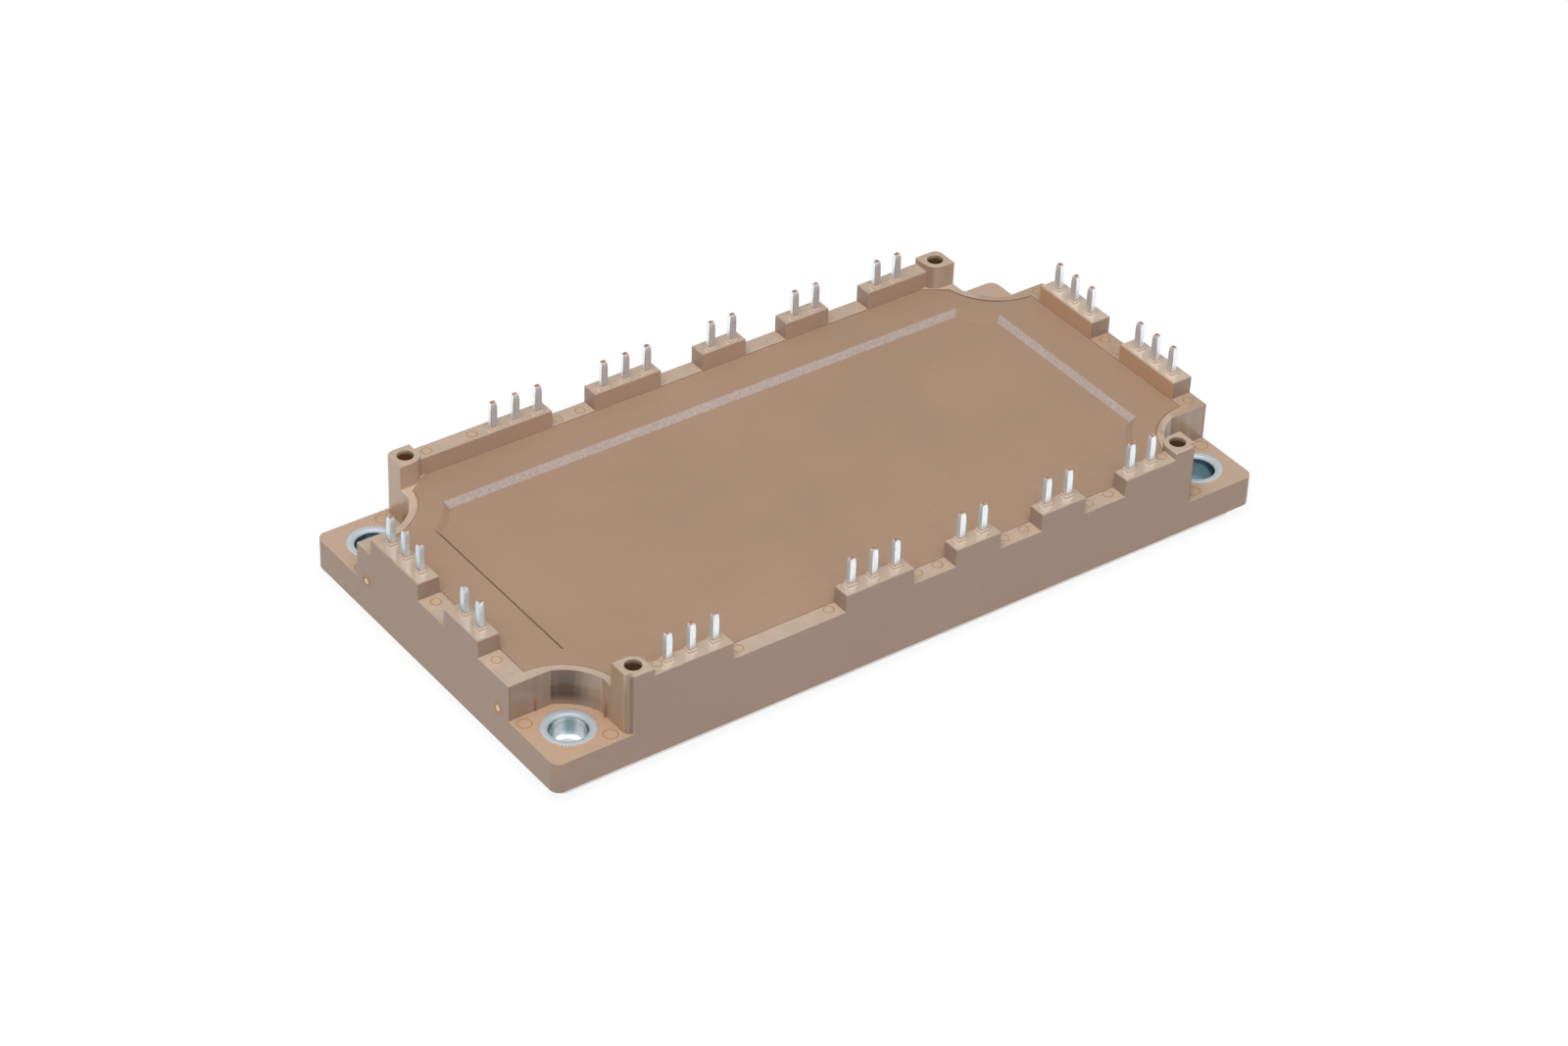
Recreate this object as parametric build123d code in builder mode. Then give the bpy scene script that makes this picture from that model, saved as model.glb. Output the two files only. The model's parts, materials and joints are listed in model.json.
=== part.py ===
from build123d import *
import math
import os

os.makedirs("parts", exist_ok=True)

# Power semiconductor module in a moulded frame with a metal baseplate.
# Millimetres, +Z up, X along the long side.
# Origin at the bottom centre of the baseplate.

# Overall sizes of the moulded frame
length = 122.0
width = 62.0
frame_bottom = 2.2
flange_top = 7.1
rim_top = 13.0
ledge_top = 15.9
post_top = 17.0
flange_corner_radius = 1.45
edge_break = 0.15

# Mounting holes and their pockets, one in each corner
hole_inset_x = 6.0
hole_inset_y = 6.0
screw_bore = 5.5
bushing_diameter = 7.6
bushing_teeth = 44
tooth_height = 0.16
bushing_proud = 0.15
bushing_lip = 0.4
bushing_clearance = 0.05
pocket_bulge_x = 0.45
pocket_bulge_y = 0.6
pocket_arc_shift_x = 2.5
pocket_arc_shift_y = 2.4
pocket_radius = 8.55
pocket_wall = 1.05

# Circuit board screw posts
post_setback_x = 2.15
post_inset_y = 2.2
post_radius = 2.05
post_corner_radius = 1.3
post_screw_hole = 2.5
post_screw_depth = 8.5

# Lid opening, lid seat and cavity
end_wall = 3.5
side_wall = 2.8
post_flat_angle = 190.0
post_flat_reach = 2.85
seat_width = 1.0
seat_z = 11.4
shelf_width = 3.0
shelf_z = 6.8

# Lid
lid_thickness = 1.5
lid_gap = 0.22
lid_border_x = 7.13
lid_border_y = 6.92
lid_border_arc = 3.67
lid_recess_depth = 0.95
lid_recess_slope = 45.0
lid_notch_length = 3.7
lid_notch_depth = 0.25
lid_notch_y = 1.75

# Baseplate
baseplate_thickness = 3.0
baseplate_inset_x = 1.8
baseplate_inset_y = 1.85
baseplate_corner_radius = 1.5
baseplate_clearance = 0.1

# Terminal pins, on a 3.81 mm raster
pin_pitch = 3.81
pin_width = 1.15
pin_thickness = 1.0
pin_tip_z = 20.5
pin_row_inset = 1.9
pin_column_inset = 1.95
pin_shoulder_height = 0.8
pin_shoulder_taper = 7.0
pin_tip_height = 0.5
pin_tip_taper = 18.0
pin_foot_thickness = 0.8
pin_foot_gap = 0.4
collar_height = 0.45
collar_margin = 0.14
collar_taper = 8.0
row_margin = 2.0
column_margin = 2.35
post_to_pin = 5.3

# Pins of each block in pitches: end blocks count inward from the last place before a post,
# the others from the middle of the side
near_start_block = (0, 1, 2)
near_inner_blocks = [(-3, -2, -1), (2, 3), (6, 7)]
near_end_block = (1, 0)
far_start_block = (2, 3, 4)
far_inner_blocks = [(-3.5, -2.5, -1.5), (1.5, 2.5), (5.5, 6.5)]
far_end_block = (1, 0)
far_row_shift = 0.5
left_blocks = [(1.5, 2.5, 3.5), (-2.5, -1.5)]
right_blocks = [(1.5, 2.5, 3.5), (-3.5, -2.5, -1.5)]

# Ceramic substrates and what is soldered to them
substrate_count = 3
substrate_space = 1.3
substrate_end_gap = 1.6
substrate_side_gap = 3.2
solder_thickness = 0.2
bottom_copper = 0.3
ceramic_thickness = 0.38
top_copper = 0.3
copper_setback = 0.8
track_gap = 0.7
strip_height = 7.5
strip_pads = 4
chip_thickness = 0.2
igbt_size = (6.4, 9.5)
freewheel_size = (5.0, 6.5)
rectifier_size = (8.0, 8.0)
rectifiers_per_row = 3
switches_per_row = 2
middle_switches = 4
right_switches = 3
thermistor_size = (2.0, 1.25)
thermistor_height = 0.8

# Bond wires and gel filling
wire_size = 0.4
wire_foot = 0.7
wire_rise = 1.4
wire_edge = 0.1
wire_shift = 0.7
chip_bond_inset = 1.5
pad_bond_inset = 1.5
gel_top = 9.6

# Worked out from the values above
hole_x = length / 2 - hole_inset_x
hole_y = width / 2 - hole_inset_y
arc_x = hole_x + pocket_arc_shift_x
arc_y = hole_y + pocket_arc_shift_y
pocket_face_x = arc_x - pocket_radius + pocket_bulge_x
pocket_face_y = arc_y - pocket_radius + pocket_bulge_y
post_x = pocket_face_x - post_setback_x
post_y = width / 2 - post_inset_y
opening_radius = pocket_radius + pocket_wall
opening_half_x = length / 2 - end_wall
opening_half_y = width / 2 - side_wall
pin_row_y = width / 2 - pin_row_inset
pin_column_x = length / 2 - pin_column_inset
last_place = math.floor((post_x - post_to_pin) / pin_pitch)
lid_top = seat_z + lid_thickness
bushing_top = flange_top + bushing_proud
corners = [(1, 1), (-1, 1), (-1, -1), (1, -1)]

well_half_x = opening_half_x - seat_width - shelf_width
well_half_y = opening_half_y - seat_width - shelf_width
solder_z = baseplate_thickness
bottom_copper_z = solder_z + solder_thickness
ceramic_z = bottom_copper_z + bottom_copper
copper_z = ceramic_z + ceramic_thickness
chip_z = copper_z + top_copper
chip_top = chip_z + chip_thickness
row_length = 2 * (pocket_face_x - substrate_end_gap)
substrate_x = (row_length - (substrate_count - 1) * substrate_space) / substrate_count
substrate_y = 2 * (well_half_y - substrate_side_gap)
substrate_pitch = substrate_x + substrate_space
substrate_names = ["left", "middle", "right"]
copper_x = substrate_x - 2 * copper_setback
copper_y = substrate_y - 2 * copper_setback
island_y = (copper_y - strip_height) / 2 - track_gap
island_centre = (strip_height + island_y) / 2 + track_gap
strip_pitch = (copper_x + track_gap) / strip_pads
track_end_x = (substrate_count - 1) / 2 * substrate_pitch + copper_x / 2
track_end_y = copper_y / 2
switch_pitch = copper_x / switches_per_row
pair_gap = (switch_pitch - igbt_size[0] - freewheel_size[0]) / 2
igbt_shift = (switch_pitch - pair_gap - igbt_size[0]) / 2
freewheel_shift = (switch_pitch - pair_gap - freewheel_size[0]) / 2


def side_blocks(last, start, inner, end):
    """Blocks of a long side from -X to +X, with their pins in pitches from its middle."""
    start_block = tuple(step - last for step in start)
    end_block = tuple(last - step for step in end)
    return [start_block, *inner, end_block]


near_blocks = side_blocks(last_place, near_start_block, near_inner_blocks, near_end_block)
far_blocks = side_blocks(last_place - far_row_shift, far_start_block, far_inner_blocks, far_end_block)


def mirrored(sign, points):
    """Points of the +X +Y corner moved to the corner that sign names."""
    return [(sign[0] * x, sign[1] * y) for x, y in points]


def arc_meets_line(radius, offset):
    """Distance along the arc's other axis where it crosses a line at the offset."""
    return math.sqrt(radius**2 - offset**2)


def pocket_outline(sign):
    """Corner pocket round a mounting hole, open to both outer sides."""
    start = (arc_x - arc_meets_line(pocket_radius, arc_y - pocket_face_y), pocket_face_y)
    end = (pocket_face_x, arc_y - arc_meets_line(pocket_radius, arc_x - pocket_face_x))
    diagonal = pocket_radius / math.sqrt(2)
    middle = (arc_x - diagonal, arc_y - diagonal)
    outer_x = length / 2
    outer_y = width / 2
    rim = [(outer_x, pocket_face_y), start]
    side = [end, (pocket_face_x, outer_y), (outer_x, outer_y), (outer_x, pocket_face_y)]
    with BuildLine() as outline:
        Polyline(*mirrored(sign, rim))
        ThreePointArc(*mirrored(sign, [start, middle, end]))
        Polyline(*mirrored(sign, side))
    return outline.line


def opening_corner(sign, radius):
    """What the lid opening loses at a corner: the pocket wall and the foot of the post."""
    angle = math.radians(post_flat_angle)
    flat_start = (arc_x + radius * math.cos(angle), arc_y + radius * math.sin(angle))
    flat_end = (post_x - post_flat_reach, opening_half_y)
    arc_start = (opening_half_x, arc_y - arc_meets_line(radius, arc_x - opening_half_x))
    middle_angle = math.radians((post_flat_angle + 270.0) / 2)
    middle = (arc_x + radius * math.cos(middle_angle), arc_y + radius * math.sin(middle_angle))
    side = [flat_start, flat_end, (opening_half_x, opening_half_y), arc_start]
    with BuildLine() as outline:
        ThreePointArc(*mirrored(sign, [arc_start, middle, flat_start]))
        Polyline(*mirrored(sign, side))
    return outline.line


def opening_sketch():
    """Lid opening of the frame in plan."""
    with BuildSketch() as opening:
        Rectangle(2 * opening_half_x, 2 * opening_half_y)
        for sign in corners:
            with BuildSketch(mode=Mode.PRIVATE) as corner:
                add(opening_corner(sign, opening_radius))
                make_face()
            add(corner.sketch, mode=Mode.SUBTRACT)
    return opening.sketch


def recess_sketch():
    """Recessed middle of the lid in plan, its corners concentric with the pockets."""
    with BuildSketch() as recess:
        Rectangle(2 * (opening_half_x - lid_border_x), 2 * (opening_half_y - lid_border_y))
        with GridLocations(2 * arc_x, 2 * arc_y, 2, 2):
            Circle(opening_radius + lid_border_arc, mode=Mode.SUBTRACT)
    return recess.sketch


def post_outline(sign):
    """Screw post: flush with the long side and with the pocket's wall."""
    back_x = post_x - post_radius
    back_y = post_y - post_radius
    outer_y = width / 2
    round_x = pocket_face_x - post_corner_radius
    round_y = outer_y - post_corner_radius
    inner_diagonal = post_radius / math.sqrt(2)
    outer_diagonal = post_corner_radius / math.sqrt(2)
    inner_middle = (post_x - inner_diagonal, post_y - inner_diagonal)
    outer_middle = (round_x + outer_diagonal, round_y + outer_diagonal)
    inner_arc = [(back_x, post_y), inner_middle, (post_x, back_y)]
    outer_arc = [(pocket_face_x, round_y), outer_middle, (round_x, outer_y)]
    with BuildLine() as outline:
        ThreePointArc(*mirrored(sign, inner_arc))
        Polyline(*mirrored(sign, [(post_x, back_y), (pocket_face_x, back_y), outer_arc[0]]))
        ThreePointArc(*mirrored(sign, outer_arc))
        Polyline(*mirrored(sign, [outer_arc[2], (back_x, outer_y), (back_x, post_y)]))
    return outline.line


def row_block(block, side):
    """Raised block of a long side as a start and an end in X; end blocks run to their post."""
    start = min(block) * pin_pitch - row_margin
    end = max(block) * pin_pitch + row_margin
    if block == side[0]:
        start = -post_x
    if block == side[-1]:
        end = post_x
    return start, end


def pin_places():
    """Every pin's name, position and outward direction."""
    places = []
    for side, blocks, outward in (
        ("near", near_blocks, (0, -1)),
        ("far", far_blocks, (0, 1)),
        ("left", left_blocks, (-1, 0)),
        ("right", right_blocks, (1, 0)),
    ):
        steps = sorted(step for block in blocks for step in block)
        for number, step in enumerate(steps, start=1):
            along = step * pin_pitch
            x = outward[0] * pin_column_x if outward[0] else along
            y = outward[1] * pin_row_y if outward[1] else along
            places.append((f"pin_{side}_{number:02d}", x, y, outward))
    return places


def pin_plane(x, y, outward):
    """Plane at a pin with its local +Y pointing out of the module."""
    return Plane(origin=(x, y, 0), x_dir=(outward[1], -outward[0], 0), z_dir=(0, 0, 1))


def foot_reach(outward):
    """How far a pin's foot runs inward from the pin's middle."""
    if outward[0]:
        return pin_column_x - well_half_x - pin_foot_gap
    return pin_row_y - well_half_y - pin_foot_gap


def substrate_centres():
    """Middle of each substrate in X."""
    first = -(substrate_count - 1) / 2 * substrate_pitch
    return [first + index * substrate_pitch for index in range(substrate_count)]


def save(builder, name):
    """Label a finished piece and write its STEP file."""
    builder.part.label = name
    export_step(builder.part, f"parts/{name}.step")


def make_pin(x, y, outward):
    """Tinned copper pin with a tapered tip and a bonding foot turned inward."""
    place = pin_plane(x, y, outward)
    foot_z = shelf_z - pin_foot_thickness
    stem_height = pin_tip_z - pin_tip_height - pin_shoulder_height - foot_z
    foot_length = foot_reach(outward) + pin_thickness / 2
    with BuildPart() as pin:
        with BuildSketch(place.offset(foot_z)):
            Rectangle(pin_width, pin_thickness)
        extrude(amount=stem_height)
        with BuildSketch(place.offset(foot_z)):
            with Locations((0, pin_thickness / 2)):
                Rectangle(pin_width, foot_length, align=(Align.CENTER, Align.MAX))
        extrude(amount=pin_foot_thickness)
        stem_end = pin.faces().sort_by(Axis.Z)[-1]
        extrude(stem_end, amount=pin_shoulder_height, taper=pin_shoulder_taper)
        shoulder_end = pin.faces().sort_by(Axis.Z)[-1]
        extrude(shoulder_end, amount=pin_tip_height, taper=pin_tip_taper)
    return pin


def make_bushing(x, y):
    """Knurled steel sleeve that takes the clamping force of the mounting screw."""
    place = Plane(origin=(x, y, baseplate_thickness))
    height = bushing_top - baseplate_thickness
    root = bushing_diameter / 2
    knurl = []
    for index in range(2 * bushing_teeth):
        angle = math.pi * index / bushing_teeth
        radius = root + tooth_height * (index % 2)
        knurl.append((radius * math.cos(angle), radius * math.sin(angle)))
    with BuildPart() as bushing:
        with BuildSketch(place):
            with BuildLine():
                Polyline(*knurl, close=True)
            make_face()
        extrude(amount=height)
        with Locations(place.offset(height)):
            CounterSinkHole(screw_bore / 2, screw_bore / 2 + bushing_lip, counter_sink_angle=90)
    return bushing


def make_housing_frame(pins):
    """Moulded frame with flange, walls, terminal blocks, screw posts and lid opening."""
    opening = opening_sketch()
    cavity = offset(opening, amount=-seat_width)
    block_depth_x = length / 2 - opening_half_x
    block_depth_y = width / 2 - opening_half_y
    sleeve_radius = bushing_diameter / 2 + tooth_height + bushing_clearance
    with BuildPart() as frame:
        # flange
        with BuildSketch(Plane.XY.offset(frame_bottom)):
            RectangleRounded(length, width, flange_corner_radius)
        extrude(amount=flange_top - frame_bottom)
        # walls up to the rim, cut back round the mounting holes
        with BuildSketch(Plane.XY.offset(flange_top)):
            Rectangle(length, width)
            for sign in corners:
                with BuildSketch(mode=Mode.PRIVATE) as pocket:
                    add(pocket_outline(sign))
                    make_face()
                add(pocket.sketch, mode=Mode.SUBTRACT)
        extrude(amount=rim_top - flange_top)
        # terminal blocks on the rim
        with BuildSketch(Plane.XY.offset(rim_top)):
            for blocks, direction in ((near_blocks, -1), (far_blocks, 1)):
                for block in blocks:
                    start, end = row_block(block, blocks)
                    centre_y = direction * (width / 2 - block_depth_y / 2)
                    with Locations(((start + end) / 2, centre_y)):
                        Rectangle(end - start, block_depth_y)
            for blocks, direction in ((left_blocks, -1), (right_blocks, 1)):
                for block in blocks:
                    start = min(block) * pin_pitch - column_margin
                    end = max(block) * pin_pitch + column_margin
                    centre_x = direction * (length / 2 - block_depth_x / 2)
                    with Locations((centre_x, (start + end) / 2)):
                        Rectangle(block_depth_x, end - start)
        extrude(amount=ledge_top - rim_top)
        # screw posts, down to the flange
        with BuildSketch(Plane.XY.offset(flange_top)):
            for sign in corners:
                with BuildSketch(mode=Mode.PRIVATE) as post:
                    add(post_outline(sign))
                    make_face()
                add(post.sketch)
        extrude(amount=post_top - flange_top)
        # lid opening, cavity under the lid seat, well between the bonding shelves
        with BuildSketch(Plane.XY.offset(seat_z)):
            add(opening)
        extrude(amount=rim_top - seat_z, mode=Mode.SUBTRACT)
        with BuildSketch(Plane.XY.offset(shelf_z)):
            add(cavity)
        extrude(amount=seat_z - shelf_z, mode=Mode.SUBTRACT)
        with BuildSketch(Plane.XY.offset(frame_bottom)):
            add(cavity)
            Rectangle(2 * well_half_x, 2 * well_half_y, mode=Mode.INTERSECT)
        extrude(amount=shelf_z - frame_bottom, mode=Mode.SUBTRACT)
        # broken edges of the blocks and posts
        for height in (ledge_top, post_top):
            level = frame.faces().filter_by_position(Axis.Z, height - 0.01, height + 0.01)
            chamfer(level.edges().filter_by(lambda edge: not edge.is_interior), edge_break)
        # seat for the baseplate
        with BuildSketch(Plane.XY.offset(frame_bottom)):
            RectangleRounded(
                length - 2 * (baseplate_inset_x - baseplate_clearance),
                width - 2 * (baseplate_inset_y - baseplate_clearance),
                baseplate_corner_radius + baseplate_clearance,
            )
        extrude(amount=baseplate_thickness - frame_bottom, mode=Mode.SUBTRACT)
        # mounting sleeves and board screws
        with Locations(Plane.XY.offset(flange_top)):
            with GridLocations(2 * hole_x, 2 * hole_y, 2, 2):
                Hole(sleeve_radius, depth=flange_top - frame_bottom)
        with Locations(Plane.XY.offset(post_top)):
            with GridLocations(2 * post_x, 2 * post_y, 2, 2):
                Hole(post_screw_hole / 2, depth=post_screw_depth)
        # collars where the pins leave the blocks
        for _, x, y, outward in pin_places():
            with BuildSketch(pin_plane(x, y, outward).offset(ledge_top)):
                Rectangle(pin_width + 2 * collar_margin, pin_thickness + 2 * collar_margin)
        extrude(amount=collar_height, taper=collar_taper)
        # pins are moulded in, so their shape is taken out
        add([pin.part for pin in pins], mode=Mode.SUBTRACT)
    return frame


def make_lid():
    """Lid with a recessed middle, seated inside the frame."""
    outline = offset(opening_sketch(), amount=-lid_gap)
    recess = recess_sketch()
    with BuildPart() as lid:
        with BuildSketch(Plane.XY.offset(seat_z)):
            add(outline)
        extrude(amount=lid_thickness)
        with BuildSketch(Plane.XY.offset(seat_z - lid_recess_depth)):
            add(recess)
        extrude(amount=lid_recess_depth)
        with BuildSketch(Plane.XY.offset(lid_top)):
            add(recess)
        extrude(amount=-lid_recess_depth, taper=lid_recess_slope, mode=Mode.SUBTRACT)
        # relief in the left edge, used to lift the lid
        with BuildSketch(Plane.XY.offset(seat_z)):
            with Locations((-opening_half_x + lid_gap, lid_notch_y)):
                Rectangle(2 * lid_notch_depth, lid_notch_length)
        extrude(amount=lid_thickness, mode=Mode.SUBTRACT)
    return lid


def make_baseplate():
    """Nickel plated copper plate that carries the substrates and meets the heatsink."""
    with BuildPart() as baseplate:
        with BuildSketch():
            RectangleRounded(
                length - 2 * baseplate_inset_x,
                width - 2 * baseplate_inset_y,
                baseplate_corner_radius,
            )
        extrude(amount=baseplate_thickness)
        with Locations(Plane.XY.offset(baseplate_thickness)):
            with GridLocations(2 * hole_x, 2 * hole_y, 2, 2):
                Hole(screw_bore / 2)
    return baseplate


def make_layer(centre, bottom, size, thickness):
    """One flat layer of a substrate."""
    with BuildPart() as layer:
        with BuildSketch(Plane(origin=(centre, 0, bottom))):
            Rectangle(*size)
        extrude(amount=thickness)
    return layer


def make_tracks(centre):
    """Etched upper copper: two large islands and a row of small pads between them."""
    with BuildPart() as tracks:
        with BuildSketch(Plane(origin=(centre, 0, copper_z))):
            with GridLocations(0, 2 * island_centre, 1, 2):
                Rectangle(copper_x, island_y)
            with GridLocations(strip_pitch, 0, strip_pads, 1):
                Rectangle(strip_pitch - track_gap, strip_height)
        extrude(amount=top_copper)
    return tracks


def island_slots(centre, per_row, count):
    """Evenly spaced places on the two islands of one substrate, row by row."""
    pitch = copper_x / per_row
    slots = []
    for row in (-1, 1):
        for column in range(per_row):
            slots.append((centre + (column - (per_row - 1) / 2) * pitch, row * island_centre))
    return slots[:count]


def make_chips(places, size, height):
    """Group of equal chips soldered on the upper copper."""
    with BuildPart() as chips:
        with BuildSketch(Plane.XY.offset(chip_z)):
            with Locations(*places):
                Rectangle(*size)
        extrude(amount=height)
    return chips


def chip_bonds(places, size):
    """A wire from each chip to the pads in the middle of its substrate."""
    ends = []
    for x, y in places:
        row = math.copysign(1, y)
        start_y = y - row * (size[1] / 2 - chip_bond_inset)
        end_y = row * (strip_height / 2 - pad_bond_inset)
        ends.append(((x + wire_shift, start_y, chip_top), (x + wire_shift, end_y, chip_z)))
    return ends


def pin_bonds():
    """A wire from the foot of each pin down to the island nearest to it."""
    ends = []
    for _, x, y, outward in pin_places():
        foot_end = foot_reach(outward) - wire_foot - wire_edge
        start = (x - outward[0] * foot_end, y - outward[1] * foot_end, shelf_z)
        inset = wire_edge + wire_foot
        end_x = outward[0] * (track_end_x - inset) if outward[0] else x
        end_y = outward[1] * (track_end_y - inset) if outward[1] else y
        ends.append((start, (end_x, end_y, chip_z)))
    return ends


def make_bond_wires(ends):
    """Group of bond wires, each an arch whose ends are pressed flat to a wedge."""
    with BuildPart() as wires:
        for start, end in ends:
            run = Vector(*end) - Vector(*start)
            drop = run.Z
            forward = Vector(run.X, run.Y, 0).normalized()
            span = Vector(run.X, run.Y, 0).length
            side = forward.cross(Vector(0, 0, 1))
            with BuildSketch(Plane(origin=start, x_dir=forward, z_dir=side)):
                with BuildLine():
                    Polyline(
                        (0, 0),
                        (wire_foot, 0),
                        (span / 2, wire_rise),
                        (span - wire_foot, drop),
                        (span, drop),
                        (span / 2, wire_rise + wire_size),
                        close=True,
                    )
                make_face()
        extrude(amount=wire_size / 2, both=True)
    return wires


def make_silicone_gel(buried):
    """Soft potting that fills the well and part of the cavity round the inner pieces."""
    cavity = offset(opening_sketch(), amount=-seat_width)
    with BuildPart() as gel:
        with BuildSketch(Plane.XY.offset(solder_z)):
            add(cavity)
            Rectangle(2 * well_half_x, 2 * well_half_y, mode=Mode.INTERSECT)
        extrude(amount=shelf_z - solder_z)
        with BuildSketch(Plane.XY.offset(shelf_z)):
            add(cavity)
        extrude(amount=gel_top - shelf_z)
        add([piece.part for piece in buried], mode=Mode.SUBTRACT)
    return gel


# Housing, baseplate, sleeves and pins
baseplate = make_baseplate()
save(baseplate, "baseplate")

pins = []
for pin_name, pin_x, pin_y, pin_outward in pin_places():
    pin = make_pin(pin_x, pin_y, pin_outward)
    save(pin, pin_name)
    pins.append(pin)

housing_frame = make_housing_frame(pins)
save(housing_frame, "housing_frame")

lid = make_lid()
save(lid, "lid")

for number, sign in enumerate(corners, start=1):
    bushing = make_bushing(sign[0] * hole_x, sign[1] * hole_y)
    save(bushing, f"bushing_{number}")

# Substrates, each soldered to the baseplate
copper_size = (copper_x, copper_y)
substrate_size = (substrate_x, substrate_y)
buried = []
for substrate, centre in zip(substrate_names, substrate_centres()):
    solder = make_layer(centre, solder_z, copper_size, solder_thickness)
    save(solder, f"solder_{substrate}")
    lower_copper = make_layer(centre, bottom_copper_z, copper_size, bottom_copper)
    save(lower_copper, f"lower_copper_{substrate}")
    ceramic = make_layer(centre, ceramic_z, substrate_size, ceramic_thickness)
    save(ceramic, f"ceramic_{substrate}")
    upper_copper = make_tracks(centre)
    save(upper_copper, f"upper_copper_{substrate}")
    buried += [solder, lower_copper, ceramic, upper_copper]

# Chips and the temperature sensor
left_centre, middle_centre, right_centre = substrate_centres()
switch_pairs = island_slots(middle_centre, switches_per_row, middle_switches)
switch_pairs += island_slots(right_centre, switches_per_row, right_switches)
igbt_places = [(x - igbt_shift, y) for x, y in switch_pairs]
freewheel_places = [(x + freewheel_shift, y) for x, y in switch_pairs]
rectifier_places = island_slots(left_centre, rectifiers_per_row, 2 * rectifiers_per_row)

igbt_chips = make_chips(igbt_places, igbt_size, chip_thickness)
save(igbt_chips, "igbt_chips")

freewheel_diodes = make_chips(freewheel_places, freewheel_size, chip_thickness)
save(freewheel_diodes, "freewheel_diodes")

rectifier_diodes = make_chips(rectifier_places, rectifier_size, chip_thickness)
save(rectifier_diodes, "rectifier_diodes")

thermistor = make_chips([(right_centre, 0)], thermistor_size, thermistor_height)
save(thermistor, "thermistor")

# Bond wires and potting
bonds = chip_bonds(igbt_places, igbt_size)
bonds += chip_bonds(freewheel_places, freewheel_size)
bonds += chip_bonds(rectifier_places, rectifier_size)
bonds += pin_bonds()
bond_wires = make_bond_wires(bonds)
save(bond_wires, "bond_wires")

buried += [igbt_chips, freewheel_diodes, rectifier_diodes, thermistor, bond_wires]
silicone_gel = make_silicone_gel(buried)
save(silicone_gel, "silicone_gel")
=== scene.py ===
"""Looks of a power module in a moulded frame: camera, light, finishes and fine pieces.

Lengths that are written as numbers are millimetres, and MM turns them into metres.
X runs along the long side, Y across to the far side, and Z up, as the pins point.
"""

import json
import logging
import math
from contextlib import contextmanager
from dataclasses import dataclass
from enum import Enum
from functools import cached_property, partial, reduce
from typing import Dict, Iterator, List, Optional, Sequence, Tuple

import bmesh
import bpy
import numpy as np
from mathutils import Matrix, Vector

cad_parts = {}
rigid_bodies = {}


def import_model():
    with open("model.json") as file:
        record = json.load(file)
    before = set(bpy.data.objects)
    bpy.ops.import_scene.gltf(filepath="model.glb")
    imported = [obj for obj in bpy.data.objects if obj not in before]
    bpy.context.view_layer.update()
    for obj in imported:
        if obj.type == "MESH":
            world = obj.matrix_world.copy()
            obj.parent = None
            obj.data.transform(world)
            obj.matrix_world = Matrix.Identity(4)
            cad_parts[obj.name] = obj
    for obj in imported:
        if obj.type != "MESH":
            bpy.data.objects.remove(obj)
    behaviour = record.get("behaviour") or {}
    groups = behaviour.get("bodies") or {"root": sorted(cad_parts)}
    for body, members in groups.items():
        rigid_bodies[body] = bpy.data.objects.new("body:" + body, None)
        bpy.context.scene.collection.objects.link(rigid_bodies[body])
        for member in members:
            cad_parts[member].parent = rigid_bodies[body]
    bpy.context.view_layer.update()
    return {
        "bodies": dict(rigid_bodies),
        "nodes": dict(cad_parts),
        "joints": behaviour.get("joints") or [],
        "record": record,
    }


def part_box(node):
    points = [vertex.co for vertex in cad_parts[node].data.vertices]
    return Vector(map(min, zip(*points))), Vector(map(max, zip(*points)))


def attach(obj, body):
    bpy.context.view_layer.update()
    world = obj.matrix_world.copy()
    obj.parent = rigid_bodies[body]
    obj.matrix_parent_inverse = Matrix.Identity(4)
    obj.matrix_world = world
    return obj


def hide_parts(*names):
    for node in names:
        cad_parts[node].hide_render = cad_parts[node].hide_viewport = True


MM = 0.001
WHITE = (1.0, 1.0, 1.0, 1.0)
WELD = 0.002
SEAM = 0.0001
FLAT_ANGLE = 0.5
LOG = logging.getLogger("module")

Point = Tuple[float, float, float]
Plan = Tuple[float, float]
Span = Tuple[float, float]
Socket = bpy.types.NodeSocket
Material = bpy.types.Material
Mesh = bpy.types.Mesh
Piece = bpy.types.Object


class Slot(Enum):
    """Material slots of the record that the pieces take their finish from."""

    HOUSING = "housing"
    LID = "lid"
    BASEPLATE = "baseplate"
    BUSHING = "bushing"
    PIN = "pin"
    SOLDER = "solder"
    COPPER = "copper"
    CERAMIC = "ceramic"
    CHIP = "chip"
    THERMISTOR = "thermistor"
    WIRE = "wire"
    GEL = "gel"


class Side(Enum):
    """Sides of the module, each with its outward direction in plan."""

    NEAR = (0, -1)
    FAR = (0, 1)
    LEFT = (-1, 0)
    RIGHT = (1, 0)


@dataclass(frozen=True)
class Colour:
    """A colour as seen on a screen, from 0 to 255."""

    red: int
    green: int
    blue: int

    def linear(self) -> Tuple[float, float, float, float]:
        """Linear colour for a socket: ((c + 0.055) / 1.055) ** 2.4 above the dark end.

        Returns:
            Red, green, blue and an alpha of one.
        """
        screen = np.array([self.red, self.green, self.blue]) / 255.0
        curve = np.where(screen <= 0.04045, screen / 12.92, ((screen + 0.055) / 1.055) ** 2.4)
        return float(curve[0]), float(curve[1]), float(curve[2]), 1.0


def grey(level: float) -> Tuple[float, float, float, float]:
    """Linear grey of a level, with an alpha of one."""
    return level, level, level, 1.0


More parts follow.
